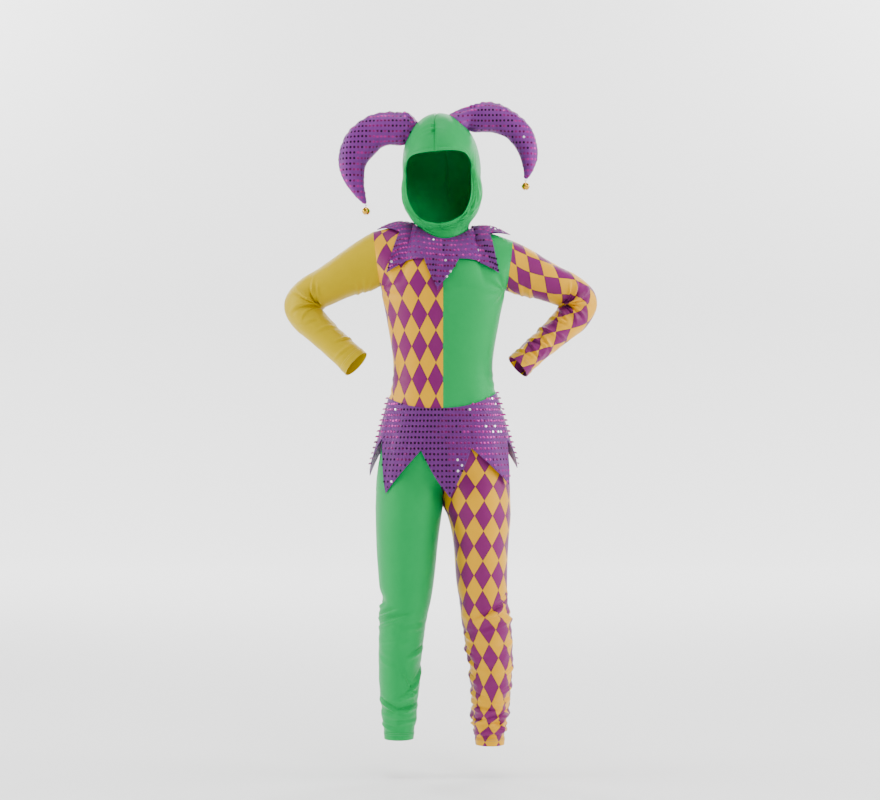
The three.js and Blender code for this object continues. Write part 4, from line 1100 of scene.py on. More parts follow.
def lattice(sheet, cells):
    """Points where the cells' whole numbers fall on the sheet, with the cloth's normal there."""
    high, wide = len(sheet.rows), len(sheet.rows[0])
    columns = wide if sheet.ring else wide - 1
    found = []
    for i in range(high - 1):
        for j in range(columns):
            grid = [(i, j), (i, j + 1), (i + 1, j + 1), (i + 1, j)]
            for trio in ((0, 1, 2), (0, 2, 3)):
                at = [grid[k] for k in trio]
                (ax, ay), (bx, by), (cx, cy) = [cells[m][n] for m, n in at]
                det = (bx - ax) * (cy - ay) - (cx - ax) * (by - ay)
                if abs(det) < 1e-9:
                    continue
                for gx in range(math.ceil(min(ax, bx, cx)), math.floor(max(ax, bx, cx)) + 1):
                    for gy in range(math.ceil(min(ay, by, cy)), math.floor(max(ay, by, cy)) + 1):
                        s = ((gx - ax) * (cy - ay) - (cx - ax) * (gy - ay)) / det
                        t = ((bx - ax) * (gy - ay) - (gx - ax) * (by - ay)) / det
                        if s < 0 or t < 0 or s + t >= 1:
                            continue
                        share = [(m, n % wide, w) for (m, n), w in zip(at, (1 - s - t, s, t))]
                        p = sum((sheet.rows[m][n] * w for m, n, w in share), Vector())
                        q = sum((sheet.normals[m][n] * w for m, n, w in share), Vector())
                        found.append((p, q.normalized(), gx, gy))
    return found


# Shader groups and materials


def linear(red, green, blue):
    """A colour given as it looks on a screen, from 0 to 255, for a shader."""
    out = []
    for c in (red, green, blue):
        c /= 255
        out.append(c / 12.92 if c <= 0.04045 else ((c + 0.055) / 1.055) ** 2.4)
    return (*out, 1.0)


class Graph:
    """Adds and joins the nodes of one tree."""

    def __init__(self, tree):
        self.tree = tree

    def node(self, kind, **settings):
        made = self.tree.nodes.new(kind)
        for key, value in settings.items():
            setattr(made, key, value)
        return made

    def put(self, value, socket):
        if isinstance(value, bpy.types.NodeSocket):
            self.tree.links.new(value, socket)
        else:
            socket.default_value = value

    def result(self, kind, values, **settings):
        """What a node makes of some values."""
        made = self.node(kind, **settings)
        for value, socket in zip(values, made.inputs):
            self.put(value, socket)
        return made.outputs[0]

    def math(self, operation, *values):
        return self.result("ShaderNodeMath", values, operation=operation)

    def vector(self, operation, *values):
        return self.result("ShaderNodeVectorMath", values, operation=operation)

    def blend(self, share, a, b):
        made = self.node("ShaderNodeMix", data_type="RGBA")
        for value, socket in zip((share, a, b), (made.inputs[0], made.inputs[6], made.inputs[7])):
            self.put(value, socket)
        return made.outputs[2]

    def split(self, vector):
        made = self.node("ShaderNodeSeparateXYZ")
        self.put(vector, made.inputs[0])
        return made.outputs[0], made.outputs[1]

    def ramp(self, value, low, high):
        values = (value, low, high)
        return self.result("ShaderNodeMapRange", values, interpolation_type="SMOOTHSTEP")

    def cloud(self, where, scale, detail=2):
        """Soft noise at a place."""
        made = self.node("ShaderNodeTexNoise")
        made.inputs["Detail"].default_value = detail
        self.put(where, made.inputs["Vector"])
        self.put(scale, made.inputs["Scale"])
        return made.outputs[0]

    def bump(self, height, strength, distance, shader):
        made = self.node("ShaderNodeBump")
        made.inputs["Strength"].default_value = strength
        made.inputs["Distance"].default_value = distance
        self.put(height, made.inputs["Height"])
        self.put(made.outputs[0], shader.inputs["Normal"])

    def where(self):
        """The object's own coordinates."""
        return self.node("ShaderNodeTexCoord").outputs["Object"]


def group_tree(name, tree_kind, inputs, outputs):
    """A group's tree; an input gives a label, a kind and a start value, an output the first two."""
    tree = bpy.data.node_groups.new(name, tree_kind)
    sockets = [("INPUT", *given) for given in inputs] + [("OUTPUT", *made, None) for made in outputs]
    for way, label, kind, default in sockets:
        socket = tree.interface.new_socket(label, in_out=way, socket_type="NodeSocket" + kind)
        if default is not None:
            socket.default_value = default
    return tree, Graph(tree), tree.nodes.new("NodeGroupInput"), tree.nodes.new("NodeGroupOutput")


def shader_group(name, inputs, outputs):
    return group_tree(name, "ShaderNodeTree", inputs, outputs)


def new_material(name, settings):
    """A material with settings by the labels of its shader's sockets, its graph and its shader."""
    material = bpy.data.materials.new(name)
    material.use_nodes = True
    shader = material.node_tree.nodes["Principled BSDF"]
    for label, value in settings.items():
        shader.inputs[label].default_value = value
    return material, Graph(material.node_tree), shader


def knit_group():
    """Columns of small loops: a height for the bump, and a tone that is darker between them, which is
    painted shade in the grooves.
    """
    tree, g, given, made = shader_group(
        "knit_loops",
        [("Vector", "Vector", None), ("Loop Width", "Float", 0.0009)],
        [("Height", "Float"), ("Tone", "Float")],
    )
    u, v = g.split(given.outputs["Vector"])
    x = g.math("DIVIDE", u, given.outputs["Loop Width"])
    y = g.math("DIVIDE", v, given.outputs["Loop Width"])
    column = g.math("ABSOLUTE", g.math("SINE", g.math("MULTIPLY", x, PI)))
    lean = g.math("MULTIPLY", g.math("PINGPONG", x, 0.5), 1.2)
    loop = g.math("ABSOLUTE", g.math("SINE", g.math("MULTIPLY", g.math("ADD", y, lean), PI)))
    height = g.math("ADD", g.math("MULTIPLY", column, 0.6), g.math("MULTIPLY", loop, 0.4))
    g.put(height, made.inputs["Height"])
    # painted shade: darker in the grooves between the loops
    g.put(g.math("MULTIPLY_ADD", height, 0.1, 0.93), made.inputs["Tone"])
    return tree


def diamond_group():
    """The print: purple and gold diamonds corner to corner, with a darker line round the purple."""
    tree, g, given, made = shader_group(
        "diamond_print",
        [
            ("Vector", "Vector", None),
            ("Purple", "Color", (0.2, 0.02, 0.15, 1)),
            ("Gold", "Color", (0.9, 0.5, 0.1, 1)),
            ("Line", "Color", (0.1, 0.01, 0.05, 1)),
        ],
        [("Color", "Color")],
    )
    u, v = g.split(given.outputs["Vector"])
    p = g.math("ADD", g.math("ADD", u, v), 0.5)
    q = g.math("ADD", g.math("SUBTRACT", u, v), 0.5)
    both = g.math("ADD", g.math("FLOOR", p), g.math("FLOOR", q))
    odd = g.math("MULTIPLY", g.math("FRACT", g.math("MULTIPLY", both, 0.5)), 2)
    mask = g.math("SUBTRACT", 1, g.math("ROUND", odd))
    offs = [g.math("ABSOLUTE", g.math("SUBTRACT", g.math("FRACT", x), 0.5)) for x in (p, q)]
    near = g.ramp(g.math("MAXIMUM", *offs), 0.435, 0.475)
    purple = g.blend(g.math("MULTIPLY", near, 0.75), given.outputs["Purple"], given.outputs["Line"])
    g.put(g.blend(mask, given.outputs["Gold"], purple), made.inputs["Color"])
    return tree


def shade_group():
    """Slow changes of tone over a cloth, as dye and wear leave."""
    tree, g, given, made = shader_group(
        "cloth_shade",
        [
            ("Vector", "Vector", None),
            ("Scale", "Float", 18.0),
            ("Amount", "Float", 0.1),
        ],
        [("Tone", "Float")],
    )
    cloud = g.cloud(given.outputs["Vector"], given.outputs["Scale"], detail=4)
    centred = g.math("SUBTRACT", cloud, 0.5)
    g.put(g.math("MULTIPLY_ADD", centred, given.outputs["Amount"], 1), made.inputs["Tone"])
    return tree


def row_group():
    """A tinted stripe under each row of discs, where their thread runs."""
    tree, g, given, made = shader_group(
        "disc_rows",
        [
            ("Vector", "Vector", None),
            ("Cloth", "Color", (0.2, 0.1, 0.4, 1)),
            ("Stripe", "Color", (0.4, 0.05, 0.3, 1)),
            ("Amount", "Float", 0.35),
        ],
        [("Color", "Color")],
    )
    _, v = g.split(given.outputs["Vector"])
    off = g.math("PINGPONG", v, 0.5)
    share = g.math("MULTIPLY", g.ramp(off, 0.3, 0.06), given.outputs["Amount"])
    g.put(g.blend(share, given.outputs["Cloth"], given.outputs["Stripe"]), made.inputs["Color"])
    return tree


class Cloths:
    """The materials, made once from the settings."""

    def __init__(self, knit, print_, sequins):
        self.loops, self.diamonds = knit_group(), diamond_group()
        self.shade, self.rows = shade_group(), row_group()
        self.knits = {
            "green": self.knit_cloth("green_knit", knit.green),
            "yellow": self.knit_cloth("yellow_knit", knit.yellow),
            "diamond": self.knit_cloth("diamond_knit", None, print_),
        }
        self.sequinned = self.sequin_cloth("sequin_cloth", sequins)
        # the horns' cloth is a lighter copy of the sequinned cloth: partly painted light
        self.horns = self.sequin_cloth("horn_cloth", sequins, HORN_LIGHT)
        self.discs = disc_material(sequins)
        self.brass = brass_material()
        self.threads = {
            "green": thread_material("green_thread", linear(70, 165, 100)),
            "yellow": thread_material("yellow_thread", linear(222, 186, 40)),
            "plum": thread_material("plum_thread", linear(120, 52, 118)),
            "violet": thread_material("violet_thread", linear(96, 62, 140)),
        }

    def base(self, name, roughness, sheen, specular, gleam):
        settings = {
            "Roughness": roughness,
            "Sheen Weight": sheen,
            "Sheen Roughness": 0.45,
            "Specular IOR Level": specular,
            "Specular Tint": (*gleam, 1),
            "Sheen Tint": (*gleam, 1),
        }
        return new_material(name, settings)

    def group(self, g, tree, **inputs):
        made = g.node("ShaderNodeGroup")
        made.node_tree = tree
        for label, value in inputs.items():
            g.put(value, made.inputs[label.replace("_", " ")])
        return made

    def uv(self, g, layer):
        return g.node("ShaderNodeUVMap", uv_map=layer).outputs[0]

    def finish(self, g, shader, color, amount=0.1, depth=0.00018):
        where = g.where()
        loops = self.group(g, self.loops, Vector=self.uv(g, "cloth"), Loop_Width=0.00095)
        slow = self.group(g, self.shade, Vector=where, Scale=16.0, Amount=amount)
        fine = self.group(g, self.shade, Vector=where, Scale=420.0, Amount=0.1)
        clouds = g.math("MULTIPLY", slow.outputs[0], fine.outputs[0])
        # the loops' tone carries painted shade between the loops
        tone = g.math("MULTIPLY", clouds, loops.outputs["Tone"])
        scaled_color = g.node("ShaderNodeVectorMath", operation="SCALE")
        g.put(color, scaled_color.inputs[0])
        g.put(tone, scaled_color.inputs["Scale"])
        g.put(scaled_color.outputs[0], shader.inputs["Base Color"])
        g.bump(loops.outputs["Height"], 0.5, depth, shader)

    def knit_cloth(self, name, color, print_=None):
        gleam = (1, 0.55, 0.3) if print_ else [c**0.7 for c in color]
        material, g, shader = self.base(name, 0.44, 0.03, 0.36, gleam)
        source = g.node("ShaderNodeRGB").outputs[0]
        if print_:
            made = self.group(
                g,
                self.diamonds,
                Vector=self.uv(g, "print"),
                Purple=(*print_.purple, 1),
                Gold=(*print_.gold, 1),
                Line=(*print_.line, 1),
            )
            source = made.outputs["Color"]
        else:
            source.default_value = (*color, 1)
        self.finish(g, shader, source)
        return material

    def sequin_cloth(self, name, sequins, light=1.0):
        # light makes a lighter copy of the cloth: partly painted light
        material, g, shader = self.base(name, 0.45, 0.05, 0.3, (0.7, 0.4, 0.8))
        rows = self.group(
            g,
            self.rows,
            Vector=self.uv(g, "discs"),
            Cloth=(*[c * light for c in sequins.cloth], 1),
            Stripe=(*[c * light for c in sequins.bright], 1),
            Amount=0.2,
        )
        self.finish(g, shader, rows.outputs[0], 0.2, 0.00025)
        return material


def plain_material(name, color, roughness, sheen=0):
    """One colour with a fine grain in it."""
    settings = {"Roughness": roughness, "Sheen Weight": sheen}
    material, g, shader = new_material(name, settings)
    dark = (*[c * 0.7 for c in color[:3]], 1)
    g.put(g.blend(g.cloud(g.where(), 900), dark, color), shader.inputs["Base Color"])
    return material


def thread_material(name, color):
    return plain_material(name, color, 0.6, 0.3)


def disc_material(sequins):
    """Shiny foil discs, each with its own tone between dark plum, magenta and silver: the dark plum and
    the darker magentas are painted reflection of the dark room, and the silver is a painted glint.
    """
    material, g, shader = new_material("sequin_foil", {"Metallic": 0.8, "Roughness": 0.3})
    tone = g.node("ShaderNodeAttribute", attribute_name="tone").outputs["Fac"]
    ramp = g.node("ShaderNodeValToRGB")
    stops = ramp.color_ramp
    stops.interpolation = "CONSTANT"
    # stops from painted reflection of the dark room, through shaded copies of magenta, to the discs' own
    # magenta and a painted silver glint
    foil = [
        (0.0, sequins.dark),
        (0.26, [c * 0.28 for c in sequins.bright]),
        (0.46, [c * 0.6 for c in sequins.bright]),
        (0.7, sequins.bright),
        (0.965, sequins.flash),
    ]
    stops.elements[0].position, stops.elements[0].color = foil[0][0], (*foil[0][1], 1)
    stops.elements[1].position, stops.elements[1].color = foil[-1][0], (*foil[-1][1], 1)
    for place, color in foil[1:-1]:
        stops.elements.new(place).color = (*color, 1)
    g.put(tone, ramp.inputs[0])
    g.put(ramp.outputs[0], shader.inputs["Base Color"])
    return material


def brass_material():
    """Yellow metal, a little worn."""
    material, g, shader = new_material("bell_brass", {"Metallic": 1})
    cloud = g.cloud(g.where(), 260)
    color = g.blend(cloud, linear(176, 124, 18), linear(238, 190, 62))
    g.put(color, shader.inputs["Base Color"])
    g.put(g.math("MULTIPLY_ADD", cloud, 0.18, 0.12), shader.inputs["Roughness"])
    g.bump(cloud, 0.2, 0.0002, shader)
    return material


# Geometry nodes


def node_tree(name, inputs):
    inputs = [("Geometry", "Geometry", None), *inputs, ("Material", "Material", None)]
    return group_tree(name, "GeometryNodeTree", inputs, [("Geometry", "Geometry")])


def repeated(g, given, made, points, shape, turn, size=(1, 1, 1)):
    """Puts a shape on every point, realizes the copies and gives them the material."""
    place = g.node("GeometryNodeInstanceOnPoints")
    g.put(points, place.inputs["Points"])
    g.put(shape, place.inputs["Instance"])
    g.put(turn, place.inputs["Rotation"])
    g.put(size, place.inputs["Scale"])
    real = g.result("GeometryNodeRealizeInstances", place.outputs[:1])
    paint = g.node("GeometryNodeSetMaterial")
    g.put(real, paint.inputs["Geometry"])
    g.put(given.outputs["Material"], paint.inputs["Material"])
    g.put(paint.outputs[0], made.inputs[0])


def disc_tree():
    """A cupped disc on each point, facing the point's own way with a small random tilt."""
    tree, g, given, made = node_tree(
        "sequin_discs",
        [
            ("Radius", "Float", 0.002),
            ("Cup", "Float", 0.0003),
            ("Tilt", "Float", 0.1),
            ("Seed", "Int", 1),
        ],
    )
    cup = g.node("GeometryNodeMeshCone", fill_type="NGON")
    cup.inputs["Vertices"].default_value = 9
    g.put(given.outputs["Radius"], cup.inputs["Radius Bottom"])
    g.put(g.math("MULTIPLY", given.outputs["Radius"], 0.45), cup.inputs["Radius Top"])
    g.put(given.outputs["Cup"], cup.inputs["Depth"])
    facing = g.node("GeometryNodeInputNamedAttribute", data_type="FLOAT_VECTOR")
    facing.inputs["Name"].default_value = "facing"
    tilt = g.node("FunctionNodeRandomValue", data_type="FLOAT_VECTOR")
    spread = g.node("ShaderNodeCombineXYZ")
    for socket in spread.inputs:
        g.put(given.outputs["Tilt"], socket)
    g.put(g.vector("MULTIPLY", spread.outputs[0], (-1, -1, -1)), tilt.inputs[0])
    g.put(spread.outputs[0], tilt.inputs[1])
    g.put(given.outputs["Seed"], tilt.inputs["Seed"])
    turn = g.node("FunctionNodeAlignRotationToVector", axis="Z")
    g.put(g.vector("ADD", facing.outputs[0], tilt.outputs[0]), turn.inputs["Vector"])
    repeated(g, given, made, given.outputs["Geometry"], cup.outputs["Mesh"], turn.outputs[0])
    return tree


def stitch_tree():
    """Short rounded stitches at an even pitch along lines."""
    tree, g, given, made = node_tree(
        "stitch_rows",
        [
            ("Pitch", "Float", 0.003),
            ("Length", "Float", 0.0022),
            ("Thread", "Float", 0.0003),
        ],
    )
    line = g.node("GeometryNodeMeshToCurve")
    g.put(given.outputs["Geometry"], line.inputs["Mesh"])
    even = g.node("GeometryNodeResampleCurve")
    even.mode = "LENGTH"
    g.put(line.outputs[0], even.inputs["Curve"])
    g.put(given.outputs["Pitch"], even.inputs["Length"])
    bead = g.node("GeometryNodeMeshUVSphere")
    bead.inputs["Segments"].default_value = 6
    bead.inputs["Rings"].default_value = 4
    bead.inputs["Radius"].default_value = 1
    tangent = g.node("GeometryNodeInputTangent")
    turn = g.node("FunctionNodeAlignRotationToVector", axis="X")
    g.put(tangent.outputs[0], turn.inputs["Vector"])
    size = g.node("ShaderNodeCombineXYZ")
    g.put(g.math("MULTIPLY", given.outputs["Length"], 0.5), size.inputs[0])
    g.put(given.outputs["Thread"], size.inputs[1])
    g.put(given.outputs["Thread"], size.inputs[2])
    parts = (even.outputs[0], bead.outputs["Mesh"], turn.outputs[0], size.outputs[0])
    repeated(g, given, made, *parts)
    return tree


def grown(name, source, tree, values, material):
    """Runs a node tree on a source mesh and keeps what it makes as a plain mesh."""
    seed = placed(name + "_source", source)
    modifier = seed.modifiers.new(tree.name, "NODES")
    modifier.node_group = tree
    sockets = {s.name: s.identifier for s in tree.interface.items_tree if s.in_out == "INPUT"}
    for label, value in values.items():
        modifier[sockets[label]] = value
    seed.update_tag()
    graph = bpy.context.evaluated_depsgraph_get()
    mesh = bpy.data.meshes.new_from_object(seed.evaluated_get(graph))
    mesh.name = name
    if not mesh.materials:
        mesh.materials.append(material)
    bpy.data.objects.remove(seed)
    return placed(name, mesh)


# What the operators share


class Workshop:
    """Holds the materials, the trees and the stitch lines while the pieces are made."""

    def __init__(self):
        self.cloths, self.trees, self.lines = None, {}, {}

    def start(self, scene):
        self.cloths = Cloths(scene.jester_knit, scene.jester_print, scene.jester_sequins)
        self.trees = {"discs": disc_tree(), "stitches": stitch_tree()}
        self.lines = {}

    def stitch(self, thread, sheet, row, lift=0.35):
        """Sews a line of stitches along a row of a sheet."""
        line = [p + n * lift for p, n in zip(sheet.rows[row], sheet.normals[row])]
        self.lines.setdefault(thread, []).append(line + line[:1] if sheet.ring else line)


shop = Workshop()


def finished(piece, nodes, body=BODY_OF_CLOTH):
    """Ties a piece to its body, and hides the solids that it stands for."""
    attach(piece, body)
    if nodes:
        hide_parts(*nodes)
    return piece


def sheet_area(sheet):
    """The outer face's area in square metres."""
    high, wide = len(sheet.rows), len(sheet.rows[0])
    total = 0.0
    for i in range(high - 1):
        for j in range(wide if sheet.ring else wide - 1):
            a, b = sheet.rows[i][j], sheet.rows[i][(j + 1) % wide]
            c, d = sheet.rows[i + 1][(j + 1) % wide], sheet.rows[i + 1][j]
            total += ((c - a).cross(d - b)).length / 2
    return total * MM * MM


def declare(sheet, stretch=1.0):
    """Works out the cut: the cloth's widest and longest, and its area before it was stretched, and keeps
    none of them.
    """
    cut = sheet.metric()
    width = max(line[-1][0] for line in cut) * MM / stretch
    length = max(uv[1] for uv in cut[-1]) * MM / stretch
    area = sheet_area(sheet) / stretch**2
    area = clamp(area, 0.31 * width * length, width * length)


def side_on(n):
    """How far a spot faces sideways, from 0 to 1."""
    return smooth(0.8, 0.95, abs(n.x))


def discs(name, found, mix=0.2, stands=0.0):
    """Sews a disc on each point of a lattice; some stand off the cloth where it faces sideways."""
    settings = bpy.context.scene.jester_sequins
    rng = random.Random(settings.seed + len(found))
    mesh = bpy.data.meshes.new(name + "_points")
    lift = settings.cup / MM / 2 + 0.12
    mesh.from_pydata([(p + n * (lift + stands * side_on(n))) * MM for p, n, _, _ in found], [], [])
    facing = mesh.attributes.new("facing", "FLOAT_VECTOR", "POINT")
    way = TIP_WAY if stands else Vector()
    tipped = [n + way * side_on(n) for _, n, _, _ in found]
    facing.data.foreach_set("vector", [c for n in tipped for c in n])
    tone = mesh.attributes.new("tone", "FLOAT", "POINT")
    values = []
    for _, n, gx, gy in found:
        # the slow drift and the facing below paint the discs' reflections: painted reflection, with a
        # random spread
        drift = noise.noise(Vector((gx * 0.13, gy * 0.19, 2.5)))
        drift += 0.5 * noise.noise(Vector((gx * 0.37, gy * 0.31, 9.5)))
        # painted reflection: a disc that faces ahead is painted dark, as if it mirrors the dark room, and
        # one that is turned away is painted bright
        ahead = smooth(0.78, 0.98, abs(n.dot(DARK_WAY)))
        value = clamp(0.72 - 0.58 * ahead + 0.75 * drift + rng.uniform(-mix, mix), 0, 0.93)
        # painted glints: discs set to the flash colour, more of them on discs turned away and in patches
        gleams = settings.flashes * (1 + 3 * (1 - ahead))
        if rng.random() < gleams + 0.4 * smooth(0.42, 0.54, noise.noise(Vector((gx, gy, 40)) * 0.17)):
            value = 1.0
        values.append(value)
    tone.data.foreach_set("value", values)
    values = {
        "Radius": settings.diameter / 2,
        "Cup": settings.cup,
        "Tilt": settings.tilt,
        "Seed": settings.seed,
        "Material": shop.cloths.discs,
    }
    piece = grown(name, mesh, shop.trees["discs"], values, shop.cloths.discs)
    return finished(piece, ())


def knitted(node, sheet, kind, print_layer=None):
    """A piece of knit as it is worn; the piece's name starts with the part it belongs to."""
    layers = {"cloth": metres(sheet)}
    if print_layer:
        layers["print"] = print_layer
    piece = wall(node + "_cloth", sheet, KNIT, shop.cloths.knits[kind], layers)
    finished(piece, [node])
    declare(sheet, STRETCH[node.split("_")[0]])


def hem(thread, sheet, off):
    """Sews the stitches of a turned hem; off says how far each row of the sheet is from its edge."""
    for under in HEM_STITCHES:
        gaps = [abs(at - (HEM_TALL - under)) for at in off]
        shop.stitch(thread, sheet, gaps.index(min(gaps)))


def disc_steps(scene):
    """How far apart the discs are in a row, and the rows, in millimetres."""
    return scene.jester_sequins.across / MM, scene.jester_sequins.down / MM


def hung(name, sheet, cells, stands=0.0):
    """A sequinned piece that hangs, with its discs and the stitches along its points."""
    layers = {"cloth": metres(sheet), "discs": cells}
    piece = wall(name + "_cloth", sheet, SEQUINNED, shop.cloths.sequinned, layers)
    finished(piece, [name])
    declare(sheet, 1.0)
    discs(name + "_discs", lattice(sheet, cells), stands=stands)
    shop.stitch("violet", sheet, -2, lift=0.25)


# Settings


def color_property(name, description, default):
    return bpy.props.FloatVectorProperty(
        name=name, description=description, default=default, size=3, min=0, max=1, subtype="COLOR"
    )


def length_property(name, description, default):
    return number_property(name, description, default, min=0, unit="LENGTH", subtype="DISTANCE")


def number_property(name, description, default, **more):
    return bpy.props.FloatProperty(name=name, description=description, default=default, **more)


def power_property(name, description, default):
    return number_property(name, description, default, unit="POWER")


class JesterKnit(bpy.types.PropertyGroup):
    """Colours of the plain knits."""

    green: color_property("Green", "Colour of the green knit", (0.001, 0.325, 0.072))
    yellow: color_property("Yellow", "Colour of the yellow knit", (0.5, 0.355, 0.0))


class JesterPrint(bpy.types.PropertyGroup):
    """The diamond print."""

    purple: color_property("Purple", "Colour of the purple diamonds", (0.165, 0.006, 0.118))
    gold: color_property("Gold", "Colour of the gold diamonds", (0.73, 0.36, 0.0))
    line: color_property("Line", "Colour of the purple diamonds' edge", (0.075, 0.004, 0.035))
    wide: length_property("Width", "Width of a diamond on the body", 0.0314)
    tall: length_property("Height", "Height of a diamond above the chest", 0.057)


class JesterSequins(bpy.types.PropertyGroup):
    """The sequinned cloth."""

    cloth: color_property("Cloth", "Colour of the cloth under the discs", (0.115, 0.022, 0.155))
    # dark and the darkened copies of bright are painted reflection of the dark room; bright is the discs'
    # own magenta
    dark: color_property("Dark", "Colour of the discs that look dark", (0.016, 0.002, 0.022))
    bright: color_property("Bright", "Colour of the discs that look bright", (0.36, 0.018, 0.22))
    # flash is a painted glint
    flash: color_property("Flash", "Colour of the discs that flash", (1, 0.92, 1))
    diameter: length_property("Diameter", "Size of a disc", 0.0047)
    cup: length_property("Cup", "Depth of a disc", 0.0003)
    across: length_property("Across", "Distance between discs in a row", 0.0074)
    down: length_property("Down", "Distance between rows", 0.0105)
    tilt: number_property("Tilt", "How unevenly the discs lie", 0.14, min=0, max=1)
    # the share of discs painted with a glint
    flashes: number_property("Flashes", "Share of discs that flash", 0.004, min=0, max=1)
    seed: bpy.props.IntProperty(name="Seed", description="Seed of the discs' tilt and tone", default=7)


class JesterStudio(bpy.types.PropertyGroup):
    """Camera, floor and light."""

    distance: length_property("Distance", "From the camera to the costume", 4.2)
    view_width: length_property("View width", "Width of the view at the costume", 1.6896)
    floor: number_property("Floor", "Height of the floor", -1.062, unit="LENGTH")
    key: power_property("Key", "Main light", 38)
    top: power_property("Top", "Light from above", 18)
    edge: power_property("Edge", "Light from each side", 68)
    wall: power_property("Wall", "Light on the wall", 380)
    noon: number_property("Noon", "Even light from above", 2.0, min=0)
    back: power_property("Back", "Light from behind", 45)
    horizon: number_property("Horizon", "How pale the backdrop looks", 0.62, min=0)
    sky: number_property("Sky", "Light from all round", 0.33, min=0)


# Operators


class JESTER_OT_body(bpy.types.Operator):
    """Make the two fronts and the two backs of the jumpsuit's body"""

    bl_idname = "jester.body"
    bl_label = "Body"

    def execute(self, context):
        shop.start(context.scene)
        diamonds = context.scene.jester_print
        for side in (RIGHT, LEFT):
            for part, sheet in zip(("front", "back"), body_sheets(side)):
                kind, layer = "green", None
                if side == RIGHT:
                    kind = "diamond"
                    layer = self.print_layer(sheet, diamonds.wide / MM, diamonds.tall / MM)
                knitted(f"body_{part}_{NAMES[side]}", sheet, kind, layer)
        return {"FINISHED"}

    def print_layer(self, sheet, wide, tall):
        """Diamonds in rows, a little wider over the chest; a purple one is near the middle seam."""
        layer, row = [], 0.0
        for i, line in enumerate(sheet.metric(level=True)):
            z = sheet.rows[i][0].z
            if z < UNDERARM_Z:
                row, chest = read(PRINT_ROWS_BODY, 1, z), line[0][1]
            stretch = 1 + 0.11 * smooth(-190, -110, z)
            over = [max(v - chest, 0) if z >= UNDERARM_Z else 0 for _, v in line]
            ups = [row - up / tall for up in over]
            layer.append([((u - FIRST_DIAMOND) / wide / stretch, v) for (u, _), v in zip(line, ups)])
        return layer


class JESTER_OT_sleeves(bpy.types.Operator):
    """Make both sleeves"""

    bl_idname = "jester.sleeves"
    bl_label = "Sleeves"

    def execute(self, context):
        for side in (RIGHT, LEFT):
            sheet, shares, total = sleeve_sheet(side)
            kind, thread, layer = "yellow", "yellow", None
            if side == LEFT:
                kind, thread, layer = "diamond", "plum", self.print_layer(sheet, shares, total)
            knitted(f"sleeve_{NAMES[side]}", sheet, kind, layer)
            hem(thread, sheet, [(1 - share) * total for share in shares])
        return {"FINISHED"}

    def print_layer(self, sheet, shares, total):
        """The diamonds turn askew and get tighter towards the cuff, as the bent arm pulls them."""
        layer = []
        loose = slack(sheet, [share * total for share in shares])
        for share, extra in zip(shares, loose):
            girth = PI * (read(SLEEVE_GIRTH[LEFT], 1, share) + read(SLEEVE_GIRTH[LEFT], 2, share))
            line = []
            for j, k in enumerate(steps(SLEEVE_COLUMNS)):
                x = (share * total + BUNCHED * extra[j % SLEEVE_COLUMNS]) / 100
                a = (0.75 - k) * girth / 100
                u = -1.41 + 2.972 * x - 1.329 * x * x + 0.18 * x**3
                v = -0.658 + 1.628 * x + 0.271 * x * x - 0.049 * x**3
                u += a * (2.567 - 0.308 * x + 0.183 * x * x)
                v += a * (-1.369 + 1.165 * x - 0.192 * x * x)
                line.append((u, v))
            layer.append(line)
        return layer


class JESTER_OT_legs(bpy.types.Operator):
    """Make both trouser legs"""

    bl_idname = "jester.legs"
    bl_label = "Legs"

    def execute(self, context):
        for side in (RIGHT, LEFT):
            sheets, heights = leg_sheets(side)
            kind, thread, printed = "green", "green", (None, None)
            if side == LEFT:
                kind, thread, printed = "diamond", "plum", self.print_layers(sheets, heights)
            for part, sheet, layer in zip(("front", "back"), sheets, printed):
                knitted(f"leg_{part}_{NAMES[side]}", sheet, kind, layer)
                hem(thread, sheet, [z - HEM_Z[side] for z in heights])
        return {"FINISHED"}

    def print_layers(self, sheets, heights):
        """Diamonds in columns down the leg, wider on the thigh; they run on round the outer seam."""
        layers = ([], [])
        loose = [slack(sheet, heights) for sheet in sheets]
        for i, z in enumerate(heights):
            row, middle, wide = (read(PRINT_LEG, k, z) for k in (1, 2, 3))
            front, back = (sheet.rows[i] for sheet in sheets)
            run = lengths(front)
            k = max(j for j in range(len(front) - 1) if front[j].x <= middle or j == 0)
            share = (middle - front[k].x) / (front[k + 1].x - front[k].x)
            start = lerp(run[k], run[k + 1], share)
            rows = [[row - BUNCHED * extra / 55 for extra in both[i]] for both in loose]
            layers[0].append([((u - start) / wide, v) for u, v in zip(run, rows[0])])
            turn = lengths(back[::-1], run[-1])
            layers[1].append([((u - start) / wide, v) for u, v in zip(reversed(turn), rows[1])])
        return layers


class JESTER_OT_collar(bpy.types.Operator):
    """Make the pointed collar with its discs"""

    bl_idname = "jester.collar"
    bl_label = "Collar"

    def execute(self, context):
        sheet, flat = collar_sheet()
        across, down = disc_steps(context.scene)
        cells = [[(x / across + 0.5, y / down + 0.5) for x, y in line] for line in flat]
        hung("collar", sheet, cells)
        return {"FINISHED"}


class JESTER_OT_peplum(bpy.types.Operator):
    """Make the pointed peplum with its discs"""

    bl_idname = "jester.peplum"
    bl_label = "Peplum"

    def execute(self, context):
        sheet, degrees = peplum_sheet()
        across, down = disc_steps(context.scene)
        level = [peplum_ring(PEPLUM_LEVEL, math.radians(d)) for d in (*degrees, degrees[0] + 360)]
        run = lengths(level)
        cells = []
        for row in sheet.rows:
            heights = [(p.z - PEPLUM_ROW) / down for p in (*row, row[0])]
            cells.append([(u / across, v) for u, v in zip(run, heights)])
        hung("peplum", sheet, cells, STANDS_OFF)
        return {"FINISHED"}


